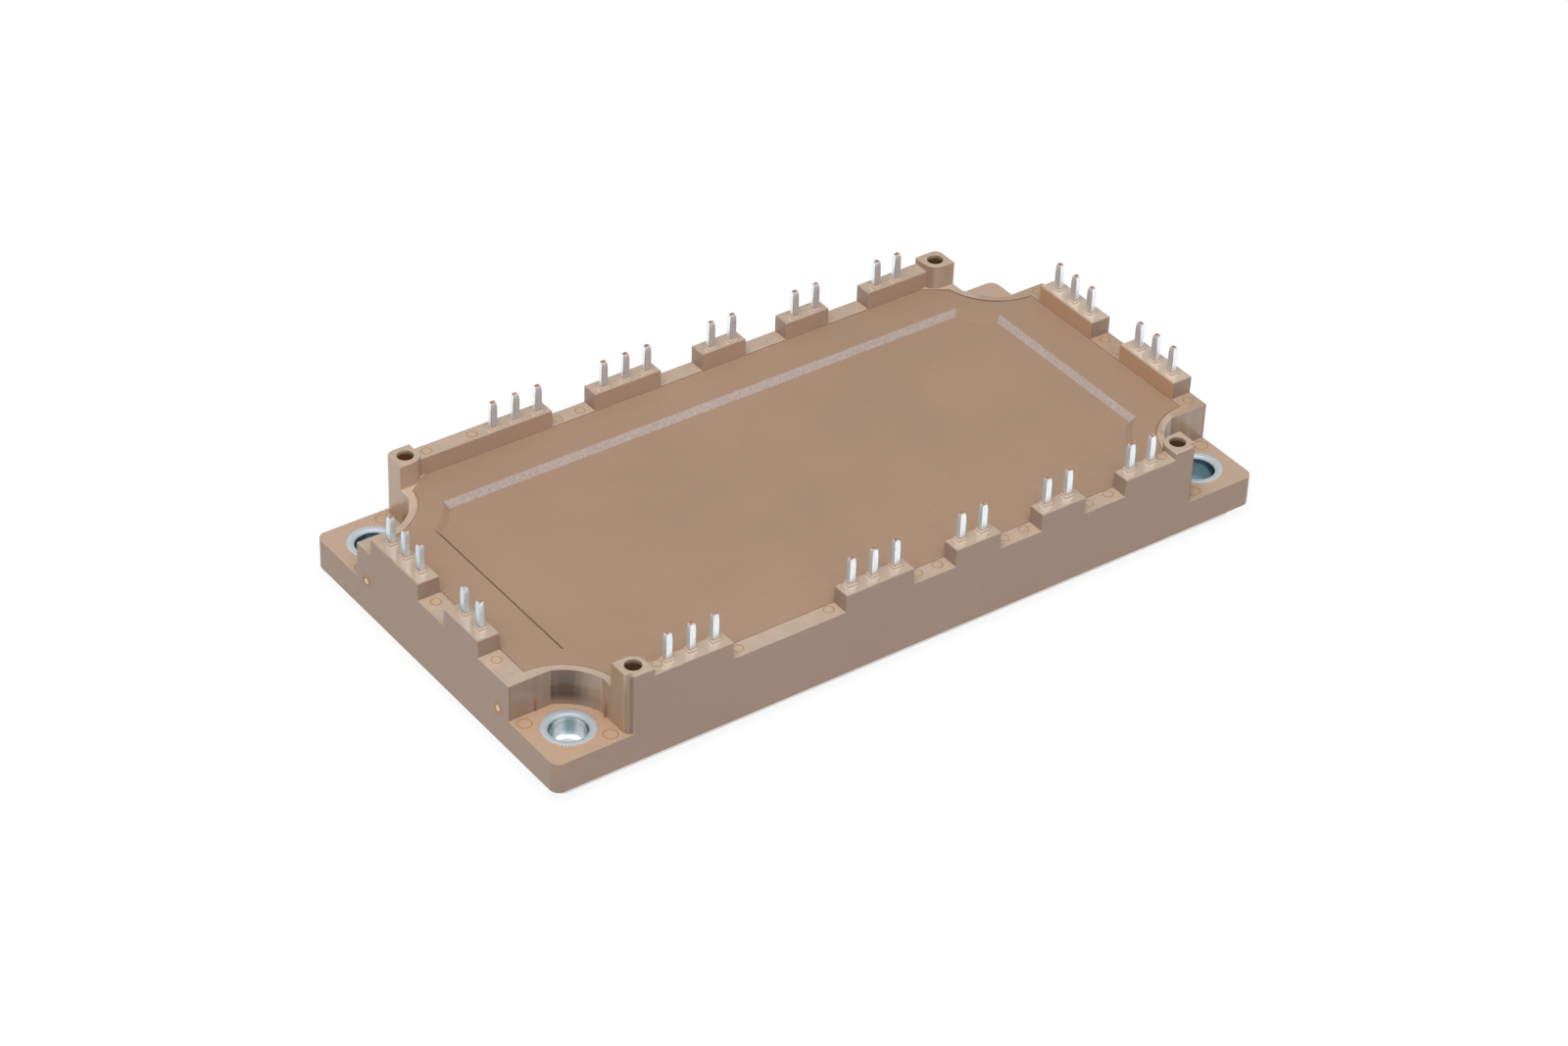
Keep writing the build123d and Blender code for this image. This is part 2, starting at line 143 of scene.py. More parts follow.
class Graph:
    """Short way to place and join the nodes of one shader tree."""

    def __init__(self, tree: bpy.types.NodeTree) -> None:
        """Keeps the tree that the nodes go into."""
        self.tree = tree

    def node(self, kind: str, **settings: object) -> bpy.types.Node:
        """Adds a node.

        Args:
            kind: Blender's name of the node type.
            **settings: Properties of the node to set.

        Returns:
            The new node.
        """
        made = self.tree.nodes.new(kind)
        for name, value in settings.items():
            setattr(made, name, value)
        return made

    def feed(self, socket: Socket, value: object) -> None:
        """Joins a socket to another one, or sets its own value.

        Args:
            socket: Input to fill.
            value: Output socket, number, tuple or colour.
        """
        if isinstance(value, Socket):
            self.tree.links.new(value, socket)
        else:
            socket.default_value = value.linear() if isinstance(value, Colour) else value

    def math(self, operation: str, first: object, second: object = 0.0, clamp: bool = False) -> Socket:
        """Adds a Math node.

        Args:
            operation: Blender's name of the operation.
            first: First operand.
            second: Second operand.
            clamp: Whether the result is held between zero and one.

        Returns:
            The result's socket.
        """
        made = self.node("ShaderNodeMath", operation=operation, use_clamp=clamp)
        self.feed(made.inputs[0], first)
        self.feed(made.inputs[1], second)
        return made.outputs[0]

    def times(self, *values: object) -> Socket:
        """Product of the values, from the first one on."""
        return reduce(partial(self.math, "MULTIPLY"), values)

    def plus(self, *values: object) -> Socket:
        """Sum of the values, from the first one on."""
        return reduce(partial(self.math, "ADD"), values)

    def most(self, *values: object) -> Socket:
        """Largest of the values."""
        return reduce(partial(self.math, "MAXIMUM"), values)

    def minus(self, first: object, second: object) -> Socket:
        """First value less the second one."""
        return self.math("SUBTRACT", first, second)

    def size(self, value: object) -> Socket:
        """Value without its sign."""
        return self.math("ABSOLUTE", value)

    def mix(self, share: object, first: object, second: object, blend: str = "MIX") -> Socket:
        """Adds a colour Mix node.

        Args:
            share: Share of the second colour.
            first: First colour.
            second: Second colour.
            blend: Blender's name of the blend type.

        Returns:
            The mixed colour's socket.
        """
        made = self.node("ShaderNodeMix", data_type="RGBA", blend_type=blend)
        self.feed(made.inputs["Factor"], share)
        self.feed(made.inputs[6], first)
        self.feed(made.inputs[7], second)
        return made.outputs[2]

    def step(self, value: object, span: Span, low: float = 0.0, high: float = 1.0) -> Socket:
        """Adds a soft step from low to high between two values of its input.

        Args:
            value: Input that is stepped.
            span: Values where the step begins and ends.
            low: Result before the step.
            high: Result after the step.

        Returns:
            The result's socket.
        """
        made = self.node("ShaderNodeMapRange", interpolation_type="SMOOTHSTEP")
        self.feed(made.inputs["Value"], value)
        for name, level in zip(("From Min", "From Max", "To Min", "To Max"), (*span, low, high)):
            made.inputs[name].default_value = level
        return made.outputs["Result"]

    def reach(self, place: object, span: Span, low: float = 0.0, high: float = 1.0) -> Socket:
        """The same step, with its span in millimetres."""
        return self.step(place, (span[0] * MM, span[1] * MM), low, high)

    def noise(self, vector: object, scale: object, detail: float = 2.0, roughness: float = 0.5) -> Socket:
        """Adds a noise that varies about one half.

        Args:
            vector: Place that the noise reads.
            scale: Waves per metre.
            detail: Number of finer layers.
            roughness: Weight of the finer layers.

        Returns:
            The noise value's socket.
        """
        made = self.node("ShaderNodeTexNoise")
        self.feed(made.inputs["Vector"], vector)
        self.feed(made.inputs["Scale"], scale)
        made.inputs["Detail"].default_value = detail
        made.inputs["Roughness"].default_value = roughness
        return made.outputs["Fac"]

    def stretched(self, vector: object, along: float) -> Socket:
        """Scales the third part of a vector with a Mapping node.

        Args:
            vector: Vector to scale.
            along: Factor along Z.

        Returns:
            The scaled vector's socket.
        """
        made = self.node("ShaderNodeMapping")
        self.feed(made.inputs["Vector"], vector)
        made.inputs["Scale"].default_value = (1.0, 1.0, along)
        return made.outputs["Vector"]

    def parts(self, vector: object) -> Tuple[Socket, ...]:
        """Splits a vector.

        Args:
            vector: Vector to split.

        Returns:
            Sockets of x, y and z.
        """
        made = self.node("ShaderNodeSeparateXYZ")
        self.feed(made.inputs[0], vector)
        return tuple(made.outputs)


class Effects:
    """Node groups that several finishes share."""

    def __init__(self) -> None:
        """Builds every group once."""
        self.grain = self._grain()
        self.mottle = self._mottle()
        self.streaks = self._streaks()

    @staticmethod
    def _start(name: str, inputs: Dict[str, object], output: str) -> Tuple[Graph, Dict[str, Socket], Socket]:
        """Starts a group that reads a place and its other inputs.

        Args:
            name: Name of the group.
            inputs: Default of each input after Place, by name.
            output: Name of the only output.

        Returns:
            The group's graph, its inputs by name and the socket of its result.
        """
        kinds = {"Place": "NodeSocketVector", "Color": "NodeSocketColor"}
        tree = bpy.data.node_groups.new(name, "ShaderNodeTree")
        tree.interface.new_socket("Place", in_out="INPUT", socket_type=kinds["Place"])
        for label, default in inputs.items():
            kind = kinds.get(label, "NodeSocketFloat")
            tree.interface.new_socket(label, in_out="INPUT", socket_type=kind).default_value = default
        kind = kinds.get(output, "NodeSocketFloat")
        tree.interface.new_socket(output, in_out="OUTPUT", socket_type=kind)
        graph = Graph(tree)
        source, result = graph.node("NodeGroupInput"), graph.node("NodeGroupOutput")
        return graph, {label: source.outputs[label] for label in ("Place", *inputs)}, result.inputs[output]

    def _grain(self) -> bpy.types.NodeTree:
        """Fine spark-eroded grain: two noises, the finer one at 2.7 times the scale.

        Returns:
            Group with Place and Scale, giving Height.
        """
        graph, given, result = self._start("moulded grain", {"Scale": 3000.0}, "Height")
        coarse = graph.noise(given["Place"], given["Scale"], 2.0, 0.6)
        fine = graph.noise(given["Place"], graph.times(given["Scale"], 2.7), 1.0, 0.5)
        graph.feed(result, graph.plus(graph.times(coarse, 0.6), graph.times(fine, 0.4)))
        return graph.tree

    def _mottle(self) -> bpy.types.NodeTree:
        """Cloudy and speckled variation of a colour.

        The colour is multiplied by 1 + Clouds * (broad noise - 0.5) + Specks * (fine noise - 0.5).

        Returns:
            Group with Place, Color, Clouds and Specks, giving Color.
        """
        inputs = {"Color": grey(0.5), "Clouds": 0.1, "Specks": 0.1}
        graph, given, result = self._start("mottled colour", inputs, "Color")
        broad = graph.noise(given["Place"], 55.0, 3.0, 0.5)
        fine = graph.noise(given["Place"], 5200.0, 2.0, 0.7)
        cloud = graph.times(graph.minus(broad, 0.5), given["Clouds"])
        speck = graph.times(graph.minus(fine, 0.5), given["Specks"])
        level = graph.plus(cloud, speck, 1.0)
        factor = graph.node("ShaderNodeCombineColor")
        for socket in factor.inputs:
            graph.feed(socket, level)
        graph.feed(result, graph.mix(1.0, given["Color"], factor.outputs[0], "MULTIPLY"))
        return graph.tree

    def _streaks(self) -> bpy.types.NodeTree:
        """Drawn lines along Z: a noise read far more finely across than along.

        Returns:
            Group with Place, giving Height.
        """
        graph, given, result = self._start("drawn streaks", {}, "Height")
        graph.feed(result, graph.noise(graph.stretched(given["Place"], 0.06), 5200.0, 2.0, 0.6))
        return graph.tree


class Painter(Graph):
    """Graph of one material, with its shader and what the finishes read of a surface."""

    AWAY: Span = (-1.0, 1.0)

    def __init__(self, name: str, effects: Optional[Effects] = None) -> None:
        """Starts a material with a Principled BSDF and its output.

        Args:
            name: Name of the material.
            effects: Shared node groups, for a finish that uses them.
        """
        self.material = bpy.data.materials.new(name)
        self.material.use_nodes = True
        self.material.node_tree.nodes.clear()
        super().__init__(self.material.node_tree)
        self.effects = effects
        self.shader = self.node("ShaderNodeBsdfPrincipled")
        self.feed(self.node("ShaderNodeOutputMaterial").inputs["Surface"], self.shader.outputs["BSDF"])

    @cached_property
    def place(self) -> Socket:
        """Object coordinates, in metres."""
        return self.node("ShaderNodeTexCoord").outputs["Object"]

    @cached_property
    def xyz(self) -> Tuple[Socket, ...]:
        """Parts of the place."""
        return self.parts(self.place)

    @cached_property
    def normal(self) -> Tuple[Socket, ...]:
        """Parts of the object's own normal."""
        return self.parts(self.node("ShaderNodeTexCoord").outputs["Normal"])

    @cached_property
    def away(self) -> Socket:
        """Mask of everything but the near-left quarter."""
        return self.most(self.reach(self.xyz[0], self.AWAY), self.reach(self.xyz[1], self.AWAY))

    def attribute(self, name: str) -> Socket:
        """Value of an attribute of the mesh."""
        return self.node("ShaderNodeAttribute", attribute_name=name).outputs["Fac"]

    def fill(self, values: Dict[str, object]) -> None:
        """Feeds the shader's inputs.

        Args:
            values: Socket, number or colour for each input, by name.
        """
        for name, value in values.items():
            self.feed(self.shader.inputs[name], value)

    def use(self, group: bpy.types.NodeTree, **inputs: object) -> Socket:
        """Places a shared group that reads the place.

        Args:
            group: Group to place.
            **inputs: Values or sockets for its other inputs, by name.

        Returns:
            The socket of its result.
        """
        made = self.node("ShaderNodeGroup", node_tree=group)
        for name, value in {"Place": self.place, **inputs}.items():
            self.feed(made.inputs[name], value)
        return made.outputs[0]

    def mottled(self, colour: object, clouds: float, specks: float) -> Socket:
        """Colour that varies in broad clouds and fine specks."""
        return self.use(self.effects.mottle, Color=colour, Clouds=clouds, Specks=specks)

    def relief(self, height: object, depth: float) -> Socket:
        """Adds a Bump node.

        Args:
            height: Height from zero to one.
            depth: Depth of the relief, in millimetres.

        Returns:
            The bumped normal's socket.
        """
        made = self.node("ShaderNodeBump")
        made.inputs["Strength"].default_value = 1.0
        made.inputs["Distance"].default_value = depth * MM
        self.feed(made.inputs["Height"], height)
        return made.outputs["Normal"]


@dataclass(frozen=True)
class Finish:
    """A finish, which its paint method works out on a new material."""

    name: str

    def material(self, effects: Effects) -> Material:
        """Makes the material.

        Args:
            effects: Shared node groups.

        Returns:
            The painted material.
        """
        graph = Painter(self.name, effects)
        self.paint(graph)
        return graph.material

    def paint(self, graph: Painter) -> None:
        """Fills the shader of a material; every finish has its own way."""
        raise NotImplementedError(self.name)


@dataclass(frozen=True)
class FramePlastic(Finish):
    """Brown glass-filled moulding: matt sides, glossy ledges, rims and pocket walls. Light is painted into
    its colour: painted shade on the upright sides, pocket arcs, near post corners and screw holes, painted
    light on faces toward the lamp, a painted sheen on the ledges, and painted highlights on the pin collars
    and pocket walls.

    A span along X, Y or Z says where a mask begins and ends, in millimetres.
    """

    name: str = "housing plastic"
    colour: Colour = Colour(199, 168, 141)
    # Painted shade on upright faces.
    side_shade_colour: Colour = Colour(165, 139, 122)
    # Painted light on right-hand faces that look left.
    warm_colour: Colour = Colour(201, 162, 130)
    # Painted light on far faces that look near.
    far_colour: Colour = Colour(191, 162, 141)
    away_colour: Colour = Colour(196, 169, 147)
    # Painted sheen on the ledges, palest on the high ledges at the right.
    ledge_sheen_colour: Colour = Colour(230, 203, 178)
    right_colour: Colour = Colour(243, 219, 197)
    low_ledge_sheen_colour: Colour = Colour(214, 183, 155)
    pocket_colour: Colour = Colour(166, 140, 121)
    # Painted shade in the pocket arcs and on the near post corners.
    painted_shade_colour: Colour = Colour(84, 62, 44)
    post_colour: Colour = Colour(187, 156, 129)
    # Painted shade in the screw holes.
    hole_shade_colour: Colour = Colour(100, 68, 40)
    # Painted highlight on the pin collars, also the colour of the pocket wall streaks.
    painted_highlight_colour: Colour = Colour(240, 229, 219)
    roughness: float = 0.50
    ledge_roughness: float = 0.24
    pocket_roughness: float = 0.34
    streak_roughness: float = 0.20
    coat_roughness: float = 0.06
    coat_ior: float = 4.0
    pocket_coat: float = 0.08
    coat_wear: Span = (0.86, 1.0)
    grain_scale: float = 3600.0
    relief: float = 0.030
    smooth_relief: float = 0.15
    clouds: float = 0.10
    specks: float = 0.22
    # Share of the pale painted highlight streaks on the pocket walls.
    streak_highlight_share: float = 0.08
    # Share of the painted shade on the near post corners.
    turn_shade_share: float = 0.50
    # Share of the painted highlight on the pin collars.
    collar_highlight_share: float = 0.85
    upward: Span = (0.6, 0.9)
    inward: Span = (-0.9, -0.6)
    rim_z: Span = (12.65, 12.95)
    raised_z: Span = (7.2, 7.3)
    block_z: Span = (14.0, 15.0)
    deep_z: Span = (7.3, 9.2)
    collar_z: Span = (15.96, 16.02)
    hole_z: Span = (16.2, 16.85)
    right_x: Span = (50.0, 51.0)
    far_y: Span = (26.0, 27.0)
    pocket_x: Span = (48.9, 49.1)
    pocket_y: Span = (19.0, 19.2)
    outside_x: Span = (60.6, 60.8)
    outside_y: Span = (30.6, 30.8)
    post_start_x: Span = (44.0, 44.2)
    post_end_x: Span = (50.6, 50.8)
    arc_start_x: float = 54.35
    arc_end_y: float = 24.66
    post_x: float = 47.25
    post_y: float = 28.8
    post_hole: float = 1.32

    def paint(self, graph: Painter) -> None:
        """Paints the faces by their place and by the way that they look, with shade and highlights painted
        into the colour.

        Args:
            graph: Graph of the material.
        """
        z = graph.xyz[2]
        upward = graph.step(graph.normal[2], self.upward)
        ledge = graph.times(upward, graph.reach(z, self.rim_z))
        raised = graph.reach(z, self.raised_z)
        upright = graph.times(raised, graph.minus(1.0, upward))
        pocket = graph.times(self._corners(graph), upright)
        base = self._walls(graph, upward, ledge)
        base = graph.mix(pocket, base, self._pocket_painted_light(graph))
        # Painted shade on the rounded outer corners of the near posts.
        turns = graph.times(self._post_turns(graph), raised)
        base = graph.mix(graph.times(turns, self.turn_shade_share), base, self.painted_shade_colour)
        # Painted shade in the screw holes.
        base = graph.mix(self._post_holes(graph), base, self.hole_shade_colour)
        # Painted highlight on the pin collars.
        base = graph.mix(graph.times(self._collars(graph), self.collar_highlight_share), base, self.painted_highlight_colour)
        graph.fill({"Base Color": graph.mottled(base, self.clouds, self.specks)})
        self._gloss(graph, ledge, pocket)

    def _gloss(self, graph: Painter, ledge: Socket, pocket: Socket) -> None:
        """Sets roughness, relief and coat, which is a hard gloss on the ledges.

        Args:
            graph: Graph of the material.
            ledge: Mask of the level faces at and above the rim.
            pocket: Mask of the pocket walls.
        """
        gloss = graph.mix(ledge, grey(self.roughness), grey(self.ledge_roughness))
        gloss = graph.mix(pocket, gloss, grey(self.pocket_roughness))
        level = graph.node("ShaderNodeRGBToBW")
        graph.feed(level.inputs[0], gloss)
        waver = graph.times(graph.minus(graph.use(graph.effects.streaks), 0.5), self.streak_roughness)
        smooth = graph.step(graph.most(ledge, pocket), (0.0, 1.0), 1.0, self.smooth_relief)
        height = graph.times(graph.use(graph.effects.grain, Scale=self.grain_scale), smooth)
        worn = graph.step(graph.noise(graph.place, 420.0, 3.0, 0.6), (0.35, 0.65), *self.coat_wear)
        graph.fill({
            "Roughness": graph.math("ADD", level.outputs[0], waver, True),
            "Normal": graph.relief(height, self.relief),
            "Coat Weight": graph.times(graph.most(ledge, graph.times(pocket, self.pocket_coat)), worn),
            "Coat Roughness": self.coat_roughness,
            "Coat IOR": self.coat_ior,
        })

    def _walls(self, graph: Painter, upward: Socket, ledge: Socket) -> Socket:
        """Colour of the flange, walls, blocks and ledges: upright faces in painted shade, right and far faces
        that look toward the lamp in painted light, and ledges paler as a painted sheen.

        Args:
            graph: Graph of the material.
            upward: Mask of the faces that look up.
            ledge: Mask of the level faces at and above the rim.

        Returns:
            The colour's socket.
        """
        x, y, z = graph.xyz
        flat = graph.mix(graph.away, self.colour, self.away_colour)
        # Upright faces take a darker colour as painted shade.
        base = graph.mix(upward, self.side_shade_colour, flat)
        right = graph.reach(x, self.right_x)
        # Ledges take paler colours, palest high on the right, as a painted sheen.
        right_light = graph.mix(graph.reach(z, self.block_z), self.low_ledge_sheen_colour, self.right_colour)
        base = graph.mix(ledge, base, graph.mix(right, self.ledge_sheen_colour, right_light))
        # Right-hand faces that look left and far faces that look near are painted lighter as painted light.
        warm = graph.times(right, graph.step(graph.normal[0], self.inward, 1.0, 0.0))
        base = graph.mix(warm, base, self.warm_colour)
        far = graph.times(graph.reach(y, self.far_y), graph.step(graph.normal[1], self.inward, 1.0, 0.0))
        return graph.mix(far, base, self.far_colour)

    def _corners(self, graph: Painter) -> Socket:
        """Mask of the four corners inside the frame's outer faces.

        Args:
            graph: Graph of the material.

        Returns:
            The mask's socket.
        """
        across, deep = (graph.size(part) for part in graph.xyz[:2])
        corner = graph.times(graph.reach(across, self.pocket_x), graph.reach(deep, self.pocket_y))
        outer_x = graph.reach(across, self.outside_x, 1.0, 0.0)
        outer_y = graph.reach(deep, self.outside_y, 1.0, 0.0)
        return graph.times(corner, graph.times(outer_x, outer_y))

    def _pocket_painted_light(self, graph: Painter) -> Socket:
        """Colour of the pocket walls: warm at the posts, darker with painted shade where the arc begins.

        The painted shade fades towards the post and the foot, and away from the near-left pocket; pale
        upright streaks are painted highlights.

        Args:
            graph: Graph of the material.

        Returns:
            The colour's socket.
        """
        across, deep = (graph.size(part) for part in graph.xyz[:2])
        arc = graph.reach(deep, (self.arc_end_y - 0.3, self.arc_end_y), 1.0, 0.0)
        starts = graph.reach(across, (self.arc_start_x - 0.15, self.arc_start_x + 0.05), 1.0, 0.0)
        fades = graph.reach(deep, (self.arc_end_y - 3.7, self.arc_end_y - 1.2), 1.0, 0.1)
        foot = graph.reach(graph.xyz[2], self.deep_z, 0.35, 1.0)
        middle = graph.times(starts, fades, foot, graph.step(graph.away, (0.0, 1.0), 1.0, 0.3))
        # Painted shade in the middle of the pocket arcs.
        dark = graph.mix(middle, self.pocket_colour, self.painted_shade_colour)
        # Pale upright streaks on the pocket walls are painted highlights.
        runs = graph.noise(graph.stretched(graph.place, 0.03), 700.0, 2.0, 0.5)
        drawn = graph.times(graph.step(runs, (0.50, 0.75)), self.streak_highlight_share)
        dark = graph.mix(drawn, dark, self.painted_highlight_colour)
        return graph.mix(arc, self.post_colour, dark)

    def _post_turns(self, graph: Painter) -> Socket:
        """Mask of the rounded outer corners of the two near posts, which are painted in shade.

        Args:
            graph: Graph of the material.

        Returns:
            The mask's socket.
        """
        y = graph.xyz[1]
        across = graph.size(graph.xyz[0])
        off = graph.size(graph.minus(self.post_x * MM, across))
        near_post = graph.reach(off, (2.25, 2.3), 1.0, 0.0)
        side_x = graph.times(near_post, graph.reach(across, (48.2, 48.8)))
        side_y = graph.reach(y, (-30.4, -29.9), 1.0, 0.0)
        outer = graph.most(graph.reach(y, (-30.98, -30.9)), graph.reach(across, (49.3, 49.38)))
        return graph.times(side_x, side_y, outer)

    def _collars(self, graph: Painter) -> Socket:
        """Mask of the low collars round the pins, which get a painted highlight: a band of height, away from
        the screw posts.

        Args:
            graph: Graph of the material.

        Returns:
            The mask's socket.
        """
        across = graph.size(graph.xyz[0])
        starts, ends = graph.reach(across, self.post_start_x), graph.reach(across, self.post_end_x, 1.0, 0.0)
        band = graph.reach(graph.xyz[2], self.collar_z)
        return graph.times(band, graph.minus(1.0, graph.times(starts, ends)))

    def _post_holes(self, graph: Painter) -> Socket:
        """Mask of the screw holes, which are painted in shade: nearer to a post's axis than the hole's
        radius, below its mouth.

        Args:
            graph: Graph of the material.

        Returns:
            The mask's socket.
        """
        off_x = graph.minus(graph.size(graph.xyz[0]), self.post_x * MM)
        off_y = graph.minus(graph.size(graph.xyz[1]), self.post_y * MM)
        squares = graph.plus(graph.math("POWER", off_x, 2.0), graph.math("POWER", off_y, 2.0))
        distance = graph.math("SQRT", squares)
        near = graph.reach(distance, (self.post_hole - 0.04, self.post_hole), 1.0, 0.0)
        return graph.times(near, graph.reach(graph.xyz[2], self.hole_z, 1.0, 0.0))


@dataclass(frozen=True)
class ThinPlastic(Finish):
    """Thin broken edges and films of flash, where the plastic looks warmer and lighter; on the broken edges
    the lighter colour is also a painted highlight.
    """

    colour: Colour
    roughness: float
    specks: float
    relief: float = 0.0
    clouds: float = 0.3
    grain_scale: float = 3600.0

    def paint(self, graph: Painter) -> None:
        """Paints a mottled colour, with a grain where the relief isn't zero.

        Args:
            graph: Graph of the material.
        """
        colour = graph.mottled(self.colour, self.clouds, self.specks)
        graph.fill({"Base Color": colour, "Roughness": self.roughness})
        if self.relief > 0.0:
            grain = graph.use(graph.effects.grain, Scale=self.grain_scale)
            graph.fill({"Normal": graph.relief(grain, self.relief)})


@dataclass(frozen=True)
class LidPlastic(Finish):
    """Matt eroded lid with a fine grain and faint clouds, its slopes coarser, paler as a painted sheen, and
    darker as painted shade where they look to the right.
    """

    name: str = "lid plastic"
    colour: Colour = Colour(171, 142, 119)
    # Painted sheen on the slopes of the recess.
    slope_sheen_colour: Colour = Colour(191, 178, 173)
    # Painted shade on the slopes that look to the right.
    shaded_colour: Colour = Colour(124, 97, 78)
    tilt: Span = (0.55, 0.64)
    roughness: float = 0.62
    gloss: float = 0.25
    clouds: float = 0.20
    specks: float = 0.36
    grain_scale: float = 3000.0
    relief: float = 0.045

    def paint(self, graph: Painter) -> None:
        """Paints the slopes of the recess paler as a painted sheen, and darker as painted shade where they
        look to the right.

        Args:
            graph: Graph of the material.
        """
        normal = graph.normal
        tilted = graph.most(graph.times(normal[0], -1.0), graph.size(normal[1]))
        slope = graph.times(graph.step(tilted, self.tilt), graph.step(normal[2], (0.5, 0.6)))
        # Painted sheen on the slopes, speckled by a coarse noise.
        coarse = graph.step(graph.noise(graph.place, 2600.0, 3.0, 0.75), (0.30, 0.66))
        sparkle = graph.times(slope, graph.step(coarse, (0.0, 1.0), 0.45, 1.0))
        base = graph.mix(sparkle, self.colour, self.slope_sheen_colour)
        # Painted shade on the slopes that look to the right.
        base = graph.mix(graph.step(normal[0], self.tilt), base, self.shaded_colour)
        waver = graph.noise(graph.place, 900.0, 3.0, 0.6)
        grain = graph.use(graph.effects.grain, Scale=self.grain_scale)
        graph.fill({
            "Base Color": graph.mottled(base, self.clouds, self.specks),
            "Specular IOR Level": self.gloss,
            "Roughness": graph.step(waver, (0.2, 0.8), self.roughness - 0.1, self.roughness + 0.1),
            "Normal": graph.relief(grain, self.relief),
        })


@dataclass(frozen=True)
class TinnedPin(Finish):
    """Bright tin with drawn lines, dark edges and specks, bare copper where the tip was cut, and a painted
    bluish reflection on the left end row.
    """

    name: str = "tinned pin"
    tin: Colour = Colour(226, 232, 236)
    # Painted reflection on the faces of the left end row that look left.
    bluish: Colour = Colour(188, 206, 217)
    distant: Colour = Colour(229, 235, 239)
    copper: Colour = Colour(218, 142, 108)
    dark: Colour = Colour(96, 96, 98)
    metallic: float = 0.55
    roughness: float = 0.30
    relief: float = 0.012
    bare_z: Span = (20.39, 20.49)
    ragged: float = 0.5
    speck_share: float = 0.7
    edge_share: float = 0.62
    groove_place: float = 0.34
    groove_share: float = 0.34
    blue_reflection_share: float = 0.85
    distant_marks: float = 0.7
    left_x: Span = (-50.0, -49.0)
    right_x: Span = (49.0, 50.0)
    far_y: Span = (25.0, 26.0)

    def paint(self, graph: Painter) -> None:
        """Paints clean tin by its row, with a painted bluish reflection on the faces of the left end row that
        look left, the marks on it, and the bare tip.

        Args:
            graph: Graph of the material.
        """
        x, y, z = graph.xyz
        streaks = graph.use(graph.effects.streaks)
        away = graph.most(graph.reach(x, self.right_x), graph.reach(y, self.far_y))
        # Painted bluish reflection on the faces of the left end row that look left.
        end_row = graph.times(graph.reach(x, self.left_x, 1.0, 0.0), self.blue_reflection_share)
        facing = graph.step(graph.normal[0], (-0.8, -0.4), 1.0, 0.0)
        clean = graph.mix(graph.times(facing, end_row), self.tin, self.bluish)
        clean = graph.mix(away, clean, self.distant)
        fewer = graph.step(away, (0.0, 1.0), 1.0, self.distant_marks)
        worn = graph.mix(graph.times(self._marks(graph, streaks), fewer), clean, self.dark)
        ragged = graph.times(graph.minus(graph.noise(graph.place, 2600.0, 2.0), 0.5), self.ragged * MM)
        tip = graph.reach(graph.plus(z, ragged), self.bare_z)
        graph.fill({
            "Base Color": graph.mix(tip, worn, self.copper),
            "Metallic": self.metallic,
            "Roughness": graph.step(streaks, (0.2, 0.8), self.roughness - 0.1, self.roughness + 0.13),
            "Normal": graph.relief(streaks, self.relief),
        })

    def _marks(self, graph: Painter, streaks: Socket) -> Socket:
        """Mask of specks, dark lines along the corners and drawn grooves.

        Args:
            graph: Graph of the material.
            streaks: Height of the drawn lines.

        Returns:
            The mask's socket.
        """
        spots = graph.step(graph.noise(graph.place, 1900.0, 2.0, 0.7), (0.66, 0.74))
        specks = graph.times(spots, self.speck_share)
        line = graph.times(graph.step(graph.attribute("corner"), (0.80, 0.97)), self.edge_share)
        off = graph.size(graph.minus(graph.size(graph.attribute("across")), self.groove_place))
        groove = graph.step(off, (0.03, 0.12), self.groove_share, 0.0)
        groove = graph.times(groove, graph.step(streaks, (0.35, 0.6)))
        return graph.most(specks, line, groove)


